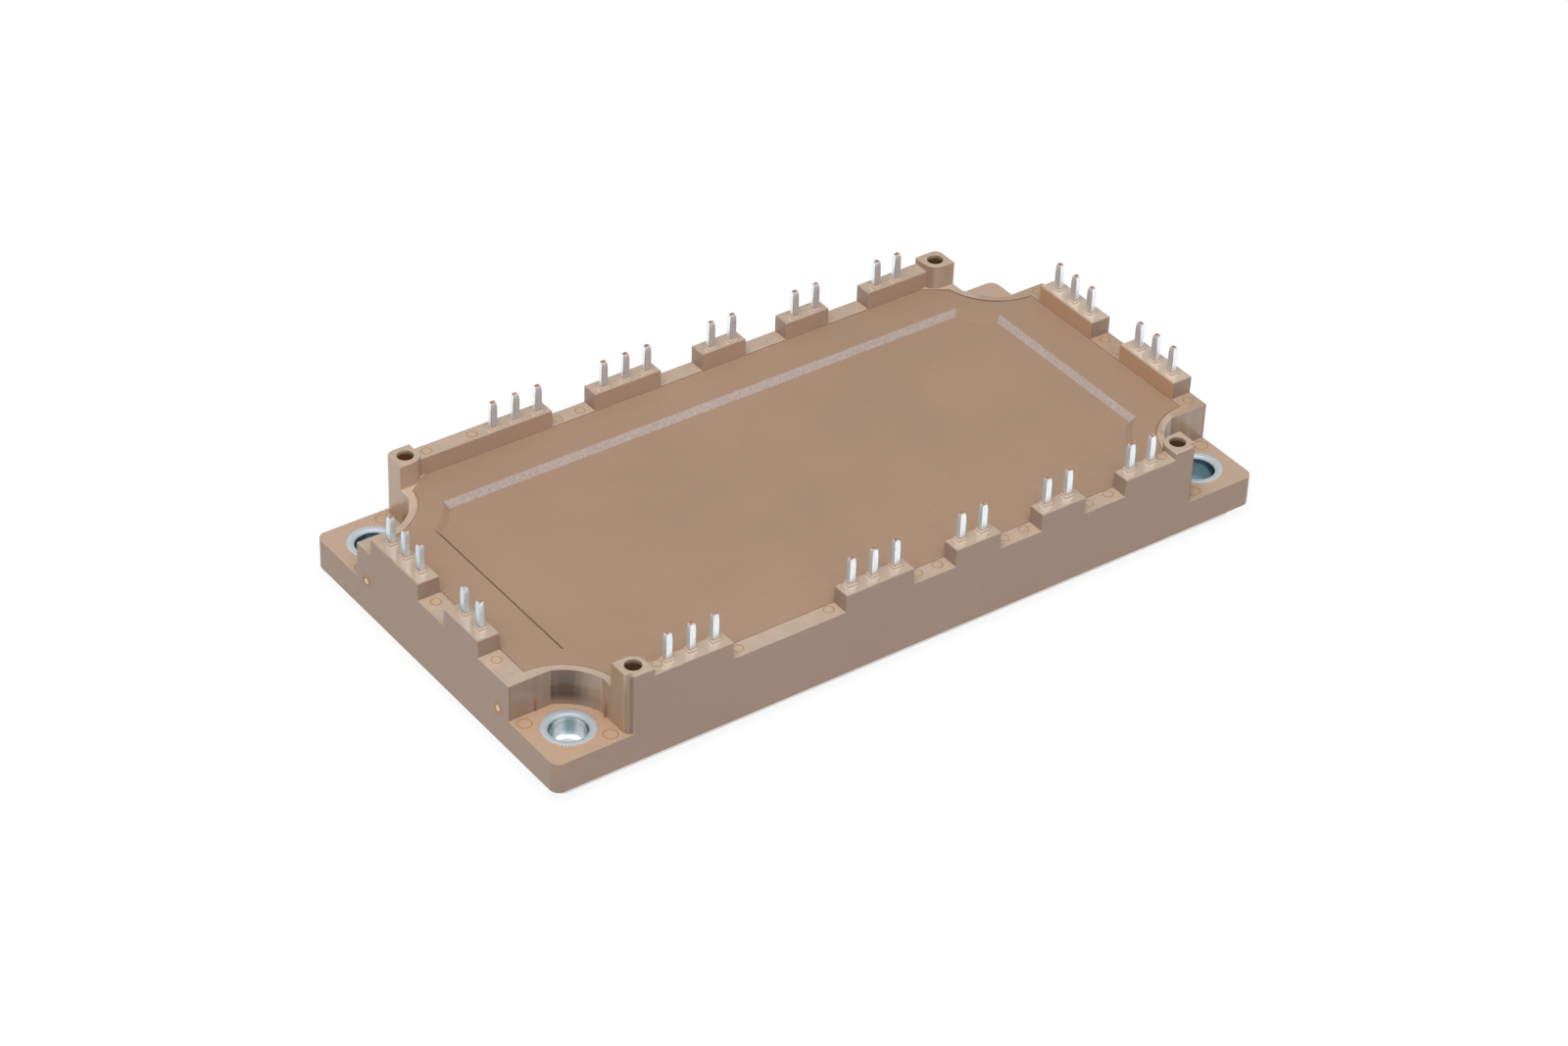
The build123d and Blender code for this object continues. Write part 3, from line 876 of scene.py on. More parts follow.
@dataclass(frozen=True)
class PlatedSteel(Finish):
    """Zinc plated turned steel: a bluish sheen with drawn lines down the bore, painted reflections in the
    bore and a painted highlight on the lip.
    """

    name: str = "plated steel"
    colour: Colour = Colour(212, 226, 236)
    # Painted highlight on the lip.
    lip_highlight_colour: Colour = Colour(238, 244, 248)
    bore_colour: Colour = Colour(224, 234, 238)
    # Painted dark reflection, in bands down the bore.
    dark_reflection_colour: Colour = Colour(142, 170, 184)
    # Darker colour of the bores of the three other sleeves.
    other_bore_colour: Colour = Colour(112, 142, 156)
    # Painted white reflection at the polished near-left foot.
    polished_colour: Colour = Colour(244, 247, 249)
    bolt_x: float = 55.0
    bolt_y: float = 25.0
    band_turn: Plan = (0.797, 0.604)
    lip_z: Span = (6.75, 6.87)
    polished_z: Span = (3.8, 3.9)
    flat_metallic: float = 0.35
    roughness: float = 0.34
    bore_roughness: float = 0.12
    waver: float = 0.16
    clouds: float = 0.2
    specks: float = 0.30
    relief: float = 0.012

    def paint(self, graph: Painter) -> None:
        """Paints the bore with bands of painted dark reflection, a painted highlight on the lip, the flat
        top, and polishes the near-left foot, whose white colour is a painted reflection.

        Args:
            graph: Graph of the material.
        """
        flat = graph.step(graph.normal[2], (0.5, 0.9))
        height = graph.xyz[2]
        lip = graph.reach(height, self.lip_z)
        # Bands of painted dark reflection down the bore.
        base = graph.mix(self._reflection_bands(graph), self.bore_colour, self.dark_reflection_colour)
        # The bores of the three other sleeves are darker.
        base = graph.mix(graph.away, base, self.other_bore_colour)
        # Painted highlight on the lip.
        base = graph.mix(flat, graph.mix(lip, base, self.lip_highlight_colour), self.colour)
        # Polished near-left foot: lower roughness, with a painted white reflection as its colour.
        polished_reflection = graph.times(graph.reach(height, self.polished_z, 1.0, 0.0), graph.minus(1.0, graph.away))
        drawn = graph.noise(graph.stretched(graph.place, 0.12), 2400.0, 3.0, 0.6)
        low = graph.step(flat, (0.0, 1.0), self.bore_roughness - 0.06, self.roughness - 0.06)
        rough = graph.plus(low, graph.times(graph.step(drawn, (0.25, 0.75)), self.waver))
        toned = graph.mottled(base, self.clouds, self.specks)
        graph.fill({
            "Base Color": graph.mix(polished_reflection, toned, self.polished_colour),
            "Metallic": graph.step(graph.most(flat, lip), (0.0, 1.0), 1.0, self.flat_metallic),
            "Roughness": graph.times(rough, graph.step(polished_reflection, (0.0, 1.0), 1.0, 0.3)),
            "Normal": graph.relief(drawn, self.relief),
        })

    def _reflection_bands(self, graph: Painter) -> Socket:
        """Mask of the bands of painted dark reflection, by the distance from an upright plane through the
        near-left bore.

        Args:
            graph: Graph of the material.

        Returns:
            The mask's socket.
        """
        off_x = graph.times(graph.plus(graph.xyz[0], self.bolt_x * MM), self.band_turn[0])
        off_y = graph.times(graph.plus(graph.xyz[1], self.bolt_y * MM), self.band_turn[1])
        off = graph.size(graph.minus(off_x, off_y))
        return graph.most(graph.reach(off, (0.3, 1.3), 0.9, 0.0), graph.reach(off, (1.7, 2.5)))


@dataclass(frozen=True)
class PlainFinish(Finish):
    """Simple finish of a piece inside or under the housing."""

    colour: Colour
    metallic: float
    roughness: float
    scale: float
    relief: float
    clouds: float = 0.2
    specks: float = 0.2

    def paint(self, graph: Painter) -> None:
        """Paints a mottled colour, with one noise for roughness and relief.

        Args:
            graph: Graph of the material.
        """
        waver = graph.noise(graph.place, self.scale, 3.0, 0.6)
        graph.fill({
            "Base Color": graph.mottled(self.colour, self.clouds, self.specks),
            "Metallic": self.metallic,
            "Roughness": graph.step(waver, (0.2, 0.8), self.roughness - 0.08, self.roughness + 0.1),
            "Normal": graph.relief(waver, self.relief),
        })


FINISHES: Dict[Slot, Finish] = {
    Slot.BASEPLATE: PlainFinish("nickel plate", Colour(208, 208, 204), 1.0, 0.32, 1500.0, 0.006),
    Slot.SOLDER: PlainFinish("dull solder", Colour(172, 174, 178), 1.0, 0.50, 1200.0, 0.010),
    Slot.COPPER: PlainFinish("copper foil", Colour(206, 138, 106), 1.0, 0.35, 1500.0, 0.006),
    Slot.CERAMIC: PlainFinish("white ceramic", Colour(232, 232, 228), 0.0, 0.60, 2500.0, 0.008),
    Slot.CHIP: PlainFinish("metallised silicon", Colour(150, 152, 160), 0.8, 0.25, 1800.0, 0.003),
    Slot.THERMISTOR: PlainFinish("sintered ceramic", Colour(70, 64, 60), 0.0, 0.55, 3000.0, 0.010),
    Slot.WIRE: PlainFinish("aluminium wire", Colour(222, 222, 226), 1.0, 0.30, 3000.0, 0.004),
    Slot.GEL: PlainFinish("silicone gel", Colour(214, 214, 206), 0.0, 0.20, 300.0, 0.020),
    Slot.HOUSING: FramePlastic(),
    Slot.LID: LidPlastic(),
    Slot.BUSHING: PlatedSteel(),
    Slot.PIN: TinnedPin(),
}
# Broken edges are paler and warmer: partly the thin plastic's own tone, partly a painted highlight.
EDGE_HIGHLIGHT = ThinPlastic("housing edge highlight", Colour(240, 208, 170), 0.35, 0.3, 0.015)
FLASH = ThinPlastic("moulding flash", Colour(186, 136, 82), 0.30, 0.2)


@contextmanager
def opened(mesh: Mesh) -> Iterator[bmesh.types.BMesh]:
    """Opens a mesh for a change and writes it back.

    Args:
        mesh: Mesh to change.

    Yields:
        The mesh in its form for editing.
    """
    work = bmesh.new()
    work.from_mesh(mesh)
    yield work
    work.to_mesh(mesh)
    work.free()


def linked(name: str, mesh: Mesh) -> Piece:
    """Makes an object at the origin from a mesh.

    Args:
        name: Name of the piece.
        mesh: Its mesh.

    Returns:
        The new object.
    """
    piece = bpy.data.objects.new(name, mesh)
    bpy.context.scene.collection.objects.link(piece)
    return piece


def refinish(mesh: Mesh, *materials: Material) -> None:
    """Gives a copied mesh new materials, the first one on every face.

    Args:
        mesh: Mesh that is changed.
        *materials: Its materials, in order.
    """
    mesh.materials.clear()
    for material in materials:
        mesh.materials.append(material)
    mesh.polygons.foreach_set("material_index", np.zeros(len(mesh.polygons), dtype=np.int32))


def piece_from_arrays(
    name: str,
    vertices: np.ndarray,
    faces: np.ndarray,
    smooth: bool = True,
    values: Optional[Dict[str, np.ndarray]] = None,
) -> Piece:
    """Makes an object at the origin from arrays of vertices and quads.

    Args:
        name: Name of the piece.
        vertices: Places in metres, one row each.
        faces: Vertex numbers of each quad, one row each.
        smooth: Whether the faces are shaded smooth.
        values: Numbers that the finish reads at the vertices, by attribute name.

    Returns:
        The new object.
    """
    mesh = bpy.data.meshes.new(name)
    mesh.from_pydata(vertices.tolist(), [], faces.tolist())
    mesh.polygons.foreach_set("use_smooth", np.full(len(mesh.polygons), smooth))
    for label, numbers in (values or {}).items():
        layer = mesh.attributes.new(label, "FLOAT", "POINT")
        layer.data.foreach_set("value", np.asarray(numbers, dtype=np.float32))
    mesh.update()
    return linked(name, mesh)


def closed_piece(
    name: str,
    vertices: np.ndarray,
    faces: np.ndarray,
    finish: Material,
    sharp: Optional[float] = None,
    values: Optional[Dict[str, np.ndarray]] = None,
) -> Piece:
    """Makes a piece of closed shells with merged doubles and faces that point outwards.

    Args:
        name: Name of the piece.
        vertices: Places in millimetres, in an array whose last axis is x, y, z.
        faces: Vertex numbers of each quad, one row each.
        finish: Its material.
        sharp: Angle in degrees above which an edge stays sharp.
        values: Numbers that the finish reads at the vertices, by attribute name.

    Returns:
        The new object.
    """
    piece = piece_from_arrays(name, vertices.reshape(-1, 3) * MM, faces, values=values)
    with opened(piece.data) as work:
        bmesh.ops.remove_doubles(work, verts=work.verts, dist=SEAM * MM)
        bmesh.ops.recalc_face_normals(work, faces=work.faces)
    if sharp is not None:
        piece.data.shade_smooth()
        with opened(piece.data) as work:
            for edge in work.edges:
                edge.smooth = len(edge.link_faces) == 2 and edge.calc_face_angle(0.0) < math.radians(sharp)
    piece.data.materials.append(finish)
    return piece


def repeated_piece(name: str, shells: Sequence[np.ndarray], quads: np.ndarray, finish: Material) -> Piece:
    """Makes one piece from shells that share their quads.

    The quads of shell k are the given ones plus k times the vertices of a shell.

    Args:
        name: Name of the piece.
        shells: Grid of vertices of each shell, in millimetres.
        quads: Vertex numbers of one shell's quads.
        finish: Its material.

    Returns:
        The new object.
    """
    shifts = np.arange(len(shells))[:, None, None] * (shells[0].size // 3)
    return closed_piece(name, np.stack(shells), (quads[None] + shifts).reshape(-1, 4), finish)


def grid_quads(rows: int, columns: int, wrap_rows: bool = False) -> np.ndarray:
    """Quads of a grid of vertices that is numbered row by row, with its last column joined to the first.

    Quad (i, j) joins (i, j), (i, j + 1), (i + 1, j + 1) and (i + 1, j).

    Args:
        rows: Number of rows of vertices.
        columns: Number of vertices in a row.
        wrap_rows: Whether the last row joins the first one.

    Returns:
        Vertex numbers, one quad in each row.
    """
    row = np.arange(rows if wrap_rows else rows - 1)[:, None]
    column = np.arange(columns)[None, :]
    after = (column + 1) % columns
    first, below = row * columns, (row + 1) % rows * columns
    return np.stack([first + column, first + after, below + after, below + column], axis=-1).reshape(-1, 4)


def angles(count: int, shift: float = 0.0) -> np.ndarray:
    """Equal angles round a circle, moved on by a share of one of them."""
    return (np.arange(count) + shift) * 2 * np.pi / count


def superellipse(samples: int, roundness: float) -> np.ndarray:
    """Rounded square: sign(cos t) |cos t| ** (2 / p), and the same with sin.

    Args:
        samples: Number of points.
        roundness: The power p, higher for squarer corners.

    Returns:
        Points between minus one and one, one row each.
    """
    angle = angles(samples, 0.5)
    turns = np.stack([np.cos(angle), np.sin(angle)], axis=1)
    return np.sign(turns) * np.abs(turns) ** (2.0 / roundness)


def turned(x: float, y: float, radii: np.ndarray, heights: np.ndarray, count: int) -> np.ndarray:
    """Profile carried round an upright axis: (x + r cos a, y + r sin a, height).

    Args:
        x: Place of the axis along the long side.
        y: Place of the axis across.
        radii: Radius of each row in a column, or of each point of the grid.
        heights: Height of each row.
        count: Points round the axis.

    Returns:
        Grid of points, row by row.
    """
    around_x = x + radii * np.cos(angles(count))
    around_y = y + radii * np.sin(angles(count))
    return np.stack([around_x, around_y, np.broadcast_to(heights[:, None], around_x.shape)], axis=-1)


def node_box(node: str) -> Tuple[np.ndarray, np.ndarray]:
    """Lowest and highest corner of a node, in millimetres."""
    low, high = (np.array(corner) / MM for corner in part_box(node))
    return low, high


@dataclass
class MouldedCopy:
    """A moulded node shown with its edges broken, in place of the sharp solid."""

    node: str
    slot: Slot
    break_width: float
    break_angle: float = 28.0
    segments: int = 2
    wall_end: Optional[Plan] = None
    wall_end_radius: float = 1.3
    wall_end_height: float = 5.0
    flange_top: float = 7.1
    curved_area: float = 12.0
    near: float = 0.01
    merge: float = 0.03

    def build(self, frame: dict, finish: Material, edge: Material) -> Piece:
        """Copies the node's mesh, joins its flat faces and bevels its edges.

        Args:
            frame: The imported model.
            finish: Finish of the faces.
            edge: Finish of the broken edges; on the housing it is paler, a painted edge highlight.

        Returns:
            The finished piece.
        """
        mesh = frame["nodes"][self.node].data.copy()
        mesh.name = f"{self.node}_skin"
        piece = linked(f"{self.node}_skin", mesh)
        self._join_flat_faces(mesh)
        if self.wall_end is not None:
            self._round_wall_ends(mesh, self.wall_end)
        refinish(mesh, finish, edge)
        self._shade_curves(mesh)
        rounding = piece.modifiers.new("broken edges", "BEVEL")
        rounding.width = self.break_width * MM
        rounding.segments = self.segments
        rounding.limit_method = "ANGLE"
        rounding.angle_limit = math.radians(self.break_angle)
        rounding.use_clamp_overlap = True
        # Bevel faces take the second material, which on the housing is the painted edge highlight.
        rounding.material = 1
        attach(piece, "root")
        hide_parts(self.node)
        return piece

    def _shade_curves(self, mesh: Mesh) -> None:
        """Shades curved faces smooth and flat ones flat, so that a flat face mirrors as a plane does.

        A face is curved where it is small and meets a neighbour at less than the bevel's angle.

        Args:
            mesh: Mesh that is changed.
        """
        low, high = math.radians(FLAT_ANGLE), math.radians(self.break_angle)
        with opened(mesh) as work:
            for face in work.faces:
                bends = [edge.calc_face_angle(0.0) for edge in face.edges if len(edge.link_faces) == 2]
                small = face.calc_area() < self.curved_area * MM * MM
                face.smooth = small and any(low < bend < high for bend in bends)

    @staticmethod
    def _join_flat_faces(mesh: Mesh) -> None:
        """Merges doubled vertices and dissolves the lines inside flat faces.

        Args:
            mesh: Mesh that is changed.
        """
        limit = math.radians(FLAT_ANGLE)
        with opened(mesh) as work:
            bmesh.ops.remove_doubles(work, verts=work.verts, dist=WELD * MM)
            bmesh.ops.dissolve_limit(
                work, angle_limit=limit, verts=work.verts, edges=work.edges, delimit={"NORMAL"}
            )

    def _round_wall_ends(self, mesh: Mesh, place: Plan) -> None:
        """Rounds the four upright edges under the posts, so that each post runs down to the flange.

        Args:
            mesh: Mesh that is changed.
            place: Distances of the edges from the middle, in plan.
        """
        cut = {"dist": 0.001 * MM, "plane_co": (0.0, 0.0, self.flange_top * MM), "plane_no": (0.0, 0.0, 1.0)}
        with opened(mesh) as work:
            sides = [
                f for f in work.faces if all(abs(abs(v.co.y / MM) - place[1]) < self.near for v in f.verts)
            ]
            geometry = set(sides).union(*(f.edges for f in sides), *(f.verts for f in sides))
            bmesh.ops.bisect_plane(work, geom=list(geometry), **cut)
            ends = [edge for edge in work.edges if self._is_wall_end(edge, place)]
            tops = [max(edge.verts, key=lambda vertex: vertex.co.z) for edge in ends]
            shelves = [max(top.link_faces, key=lambda face: face.normal.z) for top in tops]
            steps = {len(shelf.verts) - 2 for shelf in shelves}
            LOG.info("%d wall ends rounded, in steps of %s", len(ends), steps)
            bmesh.ops.bevel(
                work,
                geom=ends,
                offset=self.wall_end_radius * MM,
                segments=max(steps),
                profile=0.5,
                affect="EDGES",
                clamp_overlap=False,
            )
            bmesh.ops.remove_doubles(work, verts=work.verts, dist=self.merge * MM)

    def _is_wall_end(self, edge: bmesh.types.BMEdge, place: Plan) -> bool:
        """Whether an edge is one of the upright wall ends.

        Args:
            edge: Edge of the open mesh.
            place: Distances of the wall ends from the middle, in plan.

        Returns:
            True for a tall upright edge at one of the four places.
        """
        first, second = (vertex.co / MM for vertex in edge.verts)
        upright = (first.xy - second.xy).length < self.near and abs(first.z - second.z) > self.wall_end_height
        return upright and all(abs(abs(at) - end) < 2 * self.near for at, end in zip(first.xy, place))


@dataclass
class LidBead:
    """Bead of glue in the slit between the lid and the frame."""

    node: str = "lid"
    level: float = 12.74
    reach: float = 0.27

    def build(self, frame: dict, finish: Material) -> Piece:
        """Thickens the lid's upright sides outwards, cut off a little under the lid's top.

        A vertex keeps its place in plan, and its height is the lower of its own and the level.

        Args:
            frame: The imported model.
            finish: Finish of the bead.

        Returns:
            The finished piece.
        """
        mesh = frame["nodes"][self.node].data.copy()
        mesh.name = "lid_bead"
        with opened(mesh) as work:
            bmesh.ops.remove_doubles(work, verts=work.verts, dist=WELD * MM)
            lying = [face for face in work.faces if abs(face.normal.z) > 0.1]
            bmesh.ops.delete(work, geom=lying, context="FACES")
        points = np.empty(len(mesh.vertices) * 3)
        mesh.vertices.foreach_get("co", points)
        points[2::3] = np.minimum(points[2::3], self.level * MM)
        mesh.vertices.foreach_set("co", points)
        refinish(mesh, finish)
        mesh.update()
        piece = linked("lid_bead", mesh)
        fill = piece.modifiers.new("fill of the slit", "SOLIDIFY")
        fill.thickness = self.reach * MM
        fill.offset = 1.0
        fill.use_even_offset = True
        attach(piece, "root")
        return piece


@dataclass
class SolderPin:
    """One terminal pin: rounded bar with an eased tip and a foot turned inward."""

    node: str
    side: Side
    width: float = 1.15
    thickness: float = 1.0
    tip_height: float = 1.70
    tip_share: float = 0.45
    foot_thickness: float = 0.8
    samples: int = 32
    roundness: float = 6.5
    sharp: float = 50.0

    def build(self, finish: Material) -> Piece:
        """Builds the pin where its node stands.

        Args:
            finish: Finish of the pin.

        Returns:
            The finished piece.
        """
        low, high = node_box(self.node)
        outward = np.array([*self.side.value, 0.0])
        across = np.array([-outward[1], outward[0], 0.0])
        reach = float(np.abs((high - low) @ np.abs(outward)))
        centre = (low + high) / 2 + outward * (reach / 2 - self.thickness / 2)
        outer, inner, widths = self._stations(reach, low[2], high[2])
        section = superellipse(self.samples, self.roundness)
        flat, up = np.array([1.0, 1.0, 0.0]), np.array([0.0, 0.0, 1.0])
        outer, inner = (centre * flat + line[:, :1] * outward + line[:, 1:] * up for line in (outer, inner))
        vertices = self._sweep(outer, inner, widths, across, section)
        corner = np.abs(np.sin(2 * angles(self.samples, 0.5)))
        marks = {"corner": np.tile(corner, len(vertices)), "across": np.tile(section[:, 0], len(vertices))}
        quads = grid_quads(len(vertices), self.samples)
        piece = closed_piece(f"{self.node}_bar", vertices, quads, finish, self.sharp, marks)
        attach(piece, "root")
        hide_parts(self.node)
        return piece

    def centre(self) -> Plan:
        """Place of the upright bar in plan: half its thickness in from the node's outer face.

        Returns:
            Its x and y, in millimetres.
        """
        low, high = node_box(self.node)
        outward = np.array(self.side.value)
        outer = np.where(outward > 0, high[:2], low[:2]) - outward * self.thickness / 2
        place = np.where(outward != 0, outer, (low[:2] + high[:2]) / 2)
        return float(place[0]), float(place[1])

    def _stations(self, reach: float, bottom: float, top: float) -> Tuple[np.ndarray, np.ndarray, np.ndarray]:
        """Outer and inner line of the pin's side view, from the foot's end to the tip.

        Towards the tip the width shrinks by (1 - share) * s ** 2.2, with s from zero to one.

        Args:
            reach: Length of the foot with the bar's thickness.
            bottom: Lowest height.
            top: Highest height.

        Returns:
            Outer points, inner points and widths at each station.
        """
        half = self.thickness / 2
        foot_end = half - reach
        foot_top = bottom + self.foot_thickness
        stem = np.linspace(foot_top, top - self.tip_height, 5)[1:]
        rise = np.linspace(0.0, 1.0, 9)[1:]
        share = 1.0 - (1.0 - self.tip_share) * rise**2.2
        heights = np.concatenate([stem, top - self.tip_height + self.tip_height * np.sin(rise * np.pi / 2)])
        halves = np.concatenate([np.full(len(stem), half), half * share])
        outer = np.concatenate([[[foot_end, bottom], [half, bottom]], np.stack([halves, heights], axis=1)])
        inner_line = np.stack([-halves, heights], axis=1)
        inner = np.concatenate([[[foot_end, foot_top], [-half, foot_top]], inner_line])
        widths = np.concatenate([np.full(2 + len(stem), self.width), self.width * share])
        return outer, inner, widths

    @staticmethod
    def _sweep(
        outer: np.ndarray, inner: np.ndarray, widths: np.ndarray, across: np.ndarray, section: np.ndarray
    ) -> np.ndarray:
        """Carries the section along the stations and closes both ends at a point.

        A vertex is middle + s * half of (outer - inner) + across * r * width / 2,
        where (r, s) is the section's point.

        Args:
            outer: Outer points.
            inner: Inner points.
            widths: Width at each station.
            across: Direction across the pin.
            section: Section's points.

        Returns:
            Grid of vertices in millimetres, station by station.
        """
        middle, half = (outer + inner) / 2, (outer - inner) / 2
        rings = (
            middle[:, None, :]
            + half[:, None, :] * section[None, :, 1:]
            + across * (section[None, :, :1] * widths[:, None, None] / 2)
        )
        start, end = (np.broadcast_to(at, (1,) + rings.shape[1:]) for at in (middle[0], middle[-1]))
        return np.concatenate([start, rings, end])


@dataclass
class Sleeve:
    """Knurled mounting sleeve with a rounded lip and a smooth bore."""

    node: str
    bore: float = 5.5
    mouth: float = 6.4
    lip: float = 0.48
    edge: float = 0.04
    teeth: int = 46
    tooth_height: float = 0.26
    steps_per_tooth: int = 6
    sharp: float = 40.0

    def build(self, finish: Material) -> Piece:
        """Builds the sleeve where its node stands: teeth cut in by 1 - ((1 + cos n a) / 2) ** 0.7.

        Args:
            finish: Finish of the sleeve.

        Returns:
            The finished piece.
        """
        low, high = node_box(self.node)
        middle = (low + high) / 2
        radii, heights, knurl = self._profile((high[0] - low[0]) / 2, low[2], high[2])
        count = self.teeth * self.steps_per_tooth
        tooth = (1 + np.cos(angles(count) * self.teeth)) / 2
        around = radii[:, None] - knurl[:, None] * self.tooth_height * (1 - tooth[None, :] ** 0.7)
        vertices = turned(middle[0], middle[1], around, heights, count)
        quads = grid_quads(len(radii), count)
        piece = closed_piece(f"{self.node}_sleeve", vertices, quads, finish, self.sharp)
        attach(piece, "root")
        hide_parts(self.node)
        return piece

    def _profile(self, outer: float, bottom: float, top: float) -> Tuple[np.ndarray, np.ndarray, np.ndarray]:
        """Closed line of the sleeve's wall, from the bore's foot up and round to the outside.

        The lip is a quarter round: radius mouth / 2 - lip * sin a, height top - lip * (1 - cos a).

        Args:
            outer: Radius over the teeth.
            bottom: Lowest height.
            top: Highest height.

        Returns:
            Radii, heights and how far the teeth cut in at each point.
        """
        bore, mouth = self.bore / 2, self.mouth / 2
        turn = np.linspace(np.pi / 2, 0.0, 6)
        lip_radii = mouth - (mouth - bore) * np.sin(turn)
        lip_heights = top - self.lip * (1 - np.cos(turn))
        outside = [outer - self.tooth_height - self.edge, outer - self.edge, outer, outer, bore]
        radii = np.concatenate([[bore, bore], lip_radii, outside])
        levels = [top, top - 0.02, top - self.edge, bottom, bottom]
        heights = np.concatenate([[bottom, (bottom + top) / 2], lip_heights, levels])
        knurl = np.concatenate([np.zeros(2 + len(turn)), [0.0, 1.0, 1.0, 1.0, 0.0]])
        return radii, heights, knurl


@dataclass
class SleeveSeat:
    """Plastic that laps against the teeth of a sleeve."""

    node: str
    level: float = 7.1
    inner: float = 3.72
    outer: float = 4.18
    around: int = 96
    sharp: float = 40.0

    def build(self, finish: Material) -> Piece:
        """Builds the lap as a flat ring with a soft outer edge, round the node's middle.

        Args:
            finish: Finish of the housing.

        Returns:
            The finished piece.
        """
        low, high = node_box(self.node)
        middle = (low + high) / 2
        soft = [self.outer - 0.16, self.outer - 0.06, self.outer, self.outer]
        radii = np.array([self.inner, self.inner, *soft, self.inner])
        rise = np.array([-0.30, 0.100, 0.070, 0.030, -0.010, -0.30, -0.30])
        vertices = turned(middle[0], middle[1], radii[:, None], self.level + rise, self.around)
        quads = grid_quads(len(radii), self.around)
        piece = closed_piece(f"{self.node}_seat", vertices, quads, finish, self.sharp)
        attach(piece, "root")
        return piece


@dataclass
class RaisedRings:
    """Thin raised circles that ejector pins and gates leave on the moulding."""

    name: str
    rings: Sequence[Tuple[Point, float]]
    facing: Point = (0.0, 0.0, 1.0)
    line_width: float = 0.15
    line_height: float = 0.05
    around: int = 48
    section: int = 8

    def build(self, finish: Material) -> Piece:
        """Builds every ring as a flattened torus that is sunk to half its height.

        A vertex is centre + (r + w cos b) (u cos a + v sin a) + h n sin b.

        Args:
            finish: Finish of the rings.

        Returns:
            The finished piece.
        """
        normal = np.array(self.facing)
        first = np.array([0.0, 0.0, 1.0]) if abs(normal[2]) < 0.5 else np.array([1.0, 0.0, 0.0])
        second = np.cross(normal, first)
        a = angles(self.around)[:, None, None]
        b = angles(self.section)[None, :, None]
        shells: List[np.ndarray] = []
        for centre, diameter in self.rings:
            radius = diameter / 2 + self.line_width / 2 * np.cos(b)
            ring = np.array(centre) + radius * (first * np.cos(a) + second * np.sin(a))
            shells.append(ring + self.line_height * normal * np.sin(b))
        quads = grid_quads(self.around, self.section, wrap_rows=True)
        piece = repeated_piece(self.name, shells, quads, finish)
        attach(piece, "root")
        return piece


@dataclass
class PinFlash:
    """Fine line of flash where each pin leaves its collar."""

    name: str = "pin_flash"
    level: float = 16.35
    line: float = 0.07
    height: float = 0.06
    sunk: float = 0.05
    lap: float = 0.02
    around: int = 24
    roundness: float = 5.0

    def build(self, pins: Sequence[SolderPin], finish: Material) -> Piece:
        """Builds a rounded rectangle of flash round every pin.

        Args:
            pins: The pins that stand in the collars.
            finish: Finish of the flash.

        Returns:
            The finished piece.
        """
        section = superellipse(self.around, self.roundness)
        grow = np.array([-self.lap, self.line, self.line, -self.lap])[:, None]
        rise = np.array([self.height, self.height * 0.4, -self.sunk, -self.sunk])[:, None]
        shells: List[np.ndarray] = []
        for pin in pins:
            x, y = pin.centre()
            first = section[None, :, 0] * (pin.width / 2 + grow)
            second = section[None, :, 1] * (pin.thickness / 2 + grow)
            local_x, local_y = (second, first) if pin.side in (Side.LEFT, Side.RIGHT) else (first, second)
            z = np.broadcast_to(self.level + rise, local_x.shape)
            ring = np.stack([x + local_x, y + local_y, z], axis=-1)
            shells.append(np.concatenate([ring, ring[:1]]))
        piece = repeated_piece(self.name, shells, grid_quads(len(grow) + 1, self.around), finish)
        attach(piece, "root")
        return piece


@dataclass
class FlashLines:
    """Upright parting lines at the foot of the pocket walls."""

    name: str
    feet: Sequence[Plan]
    bottom: float = 7.05
    top: float = 10.2
    taper: float = 0.8
    radius: float = 0.09
    samples: int = 8

    def build(self, finish: Material) -> Piece:
        """Builds each line as a thin rod whose upper end tapers to nothing.

        Args:
            finish: Finish of the lines.

        Returns:
            The finished piece.
        """
        heights = np.array([self.bottom, self.bottom, self.top - self.taper, self.top])
        radii = self.radius * np.array([0.0, 1.0, 0.8, 0.0])
        rods = [turned(x, y, radii[:, None], heights, self.samples) for x, y in self.feet]
        piece = repeated_piece(self.name, rods, grid_quads(len(heights), self.samples), finish)
        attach(piece, "root")
        return piece


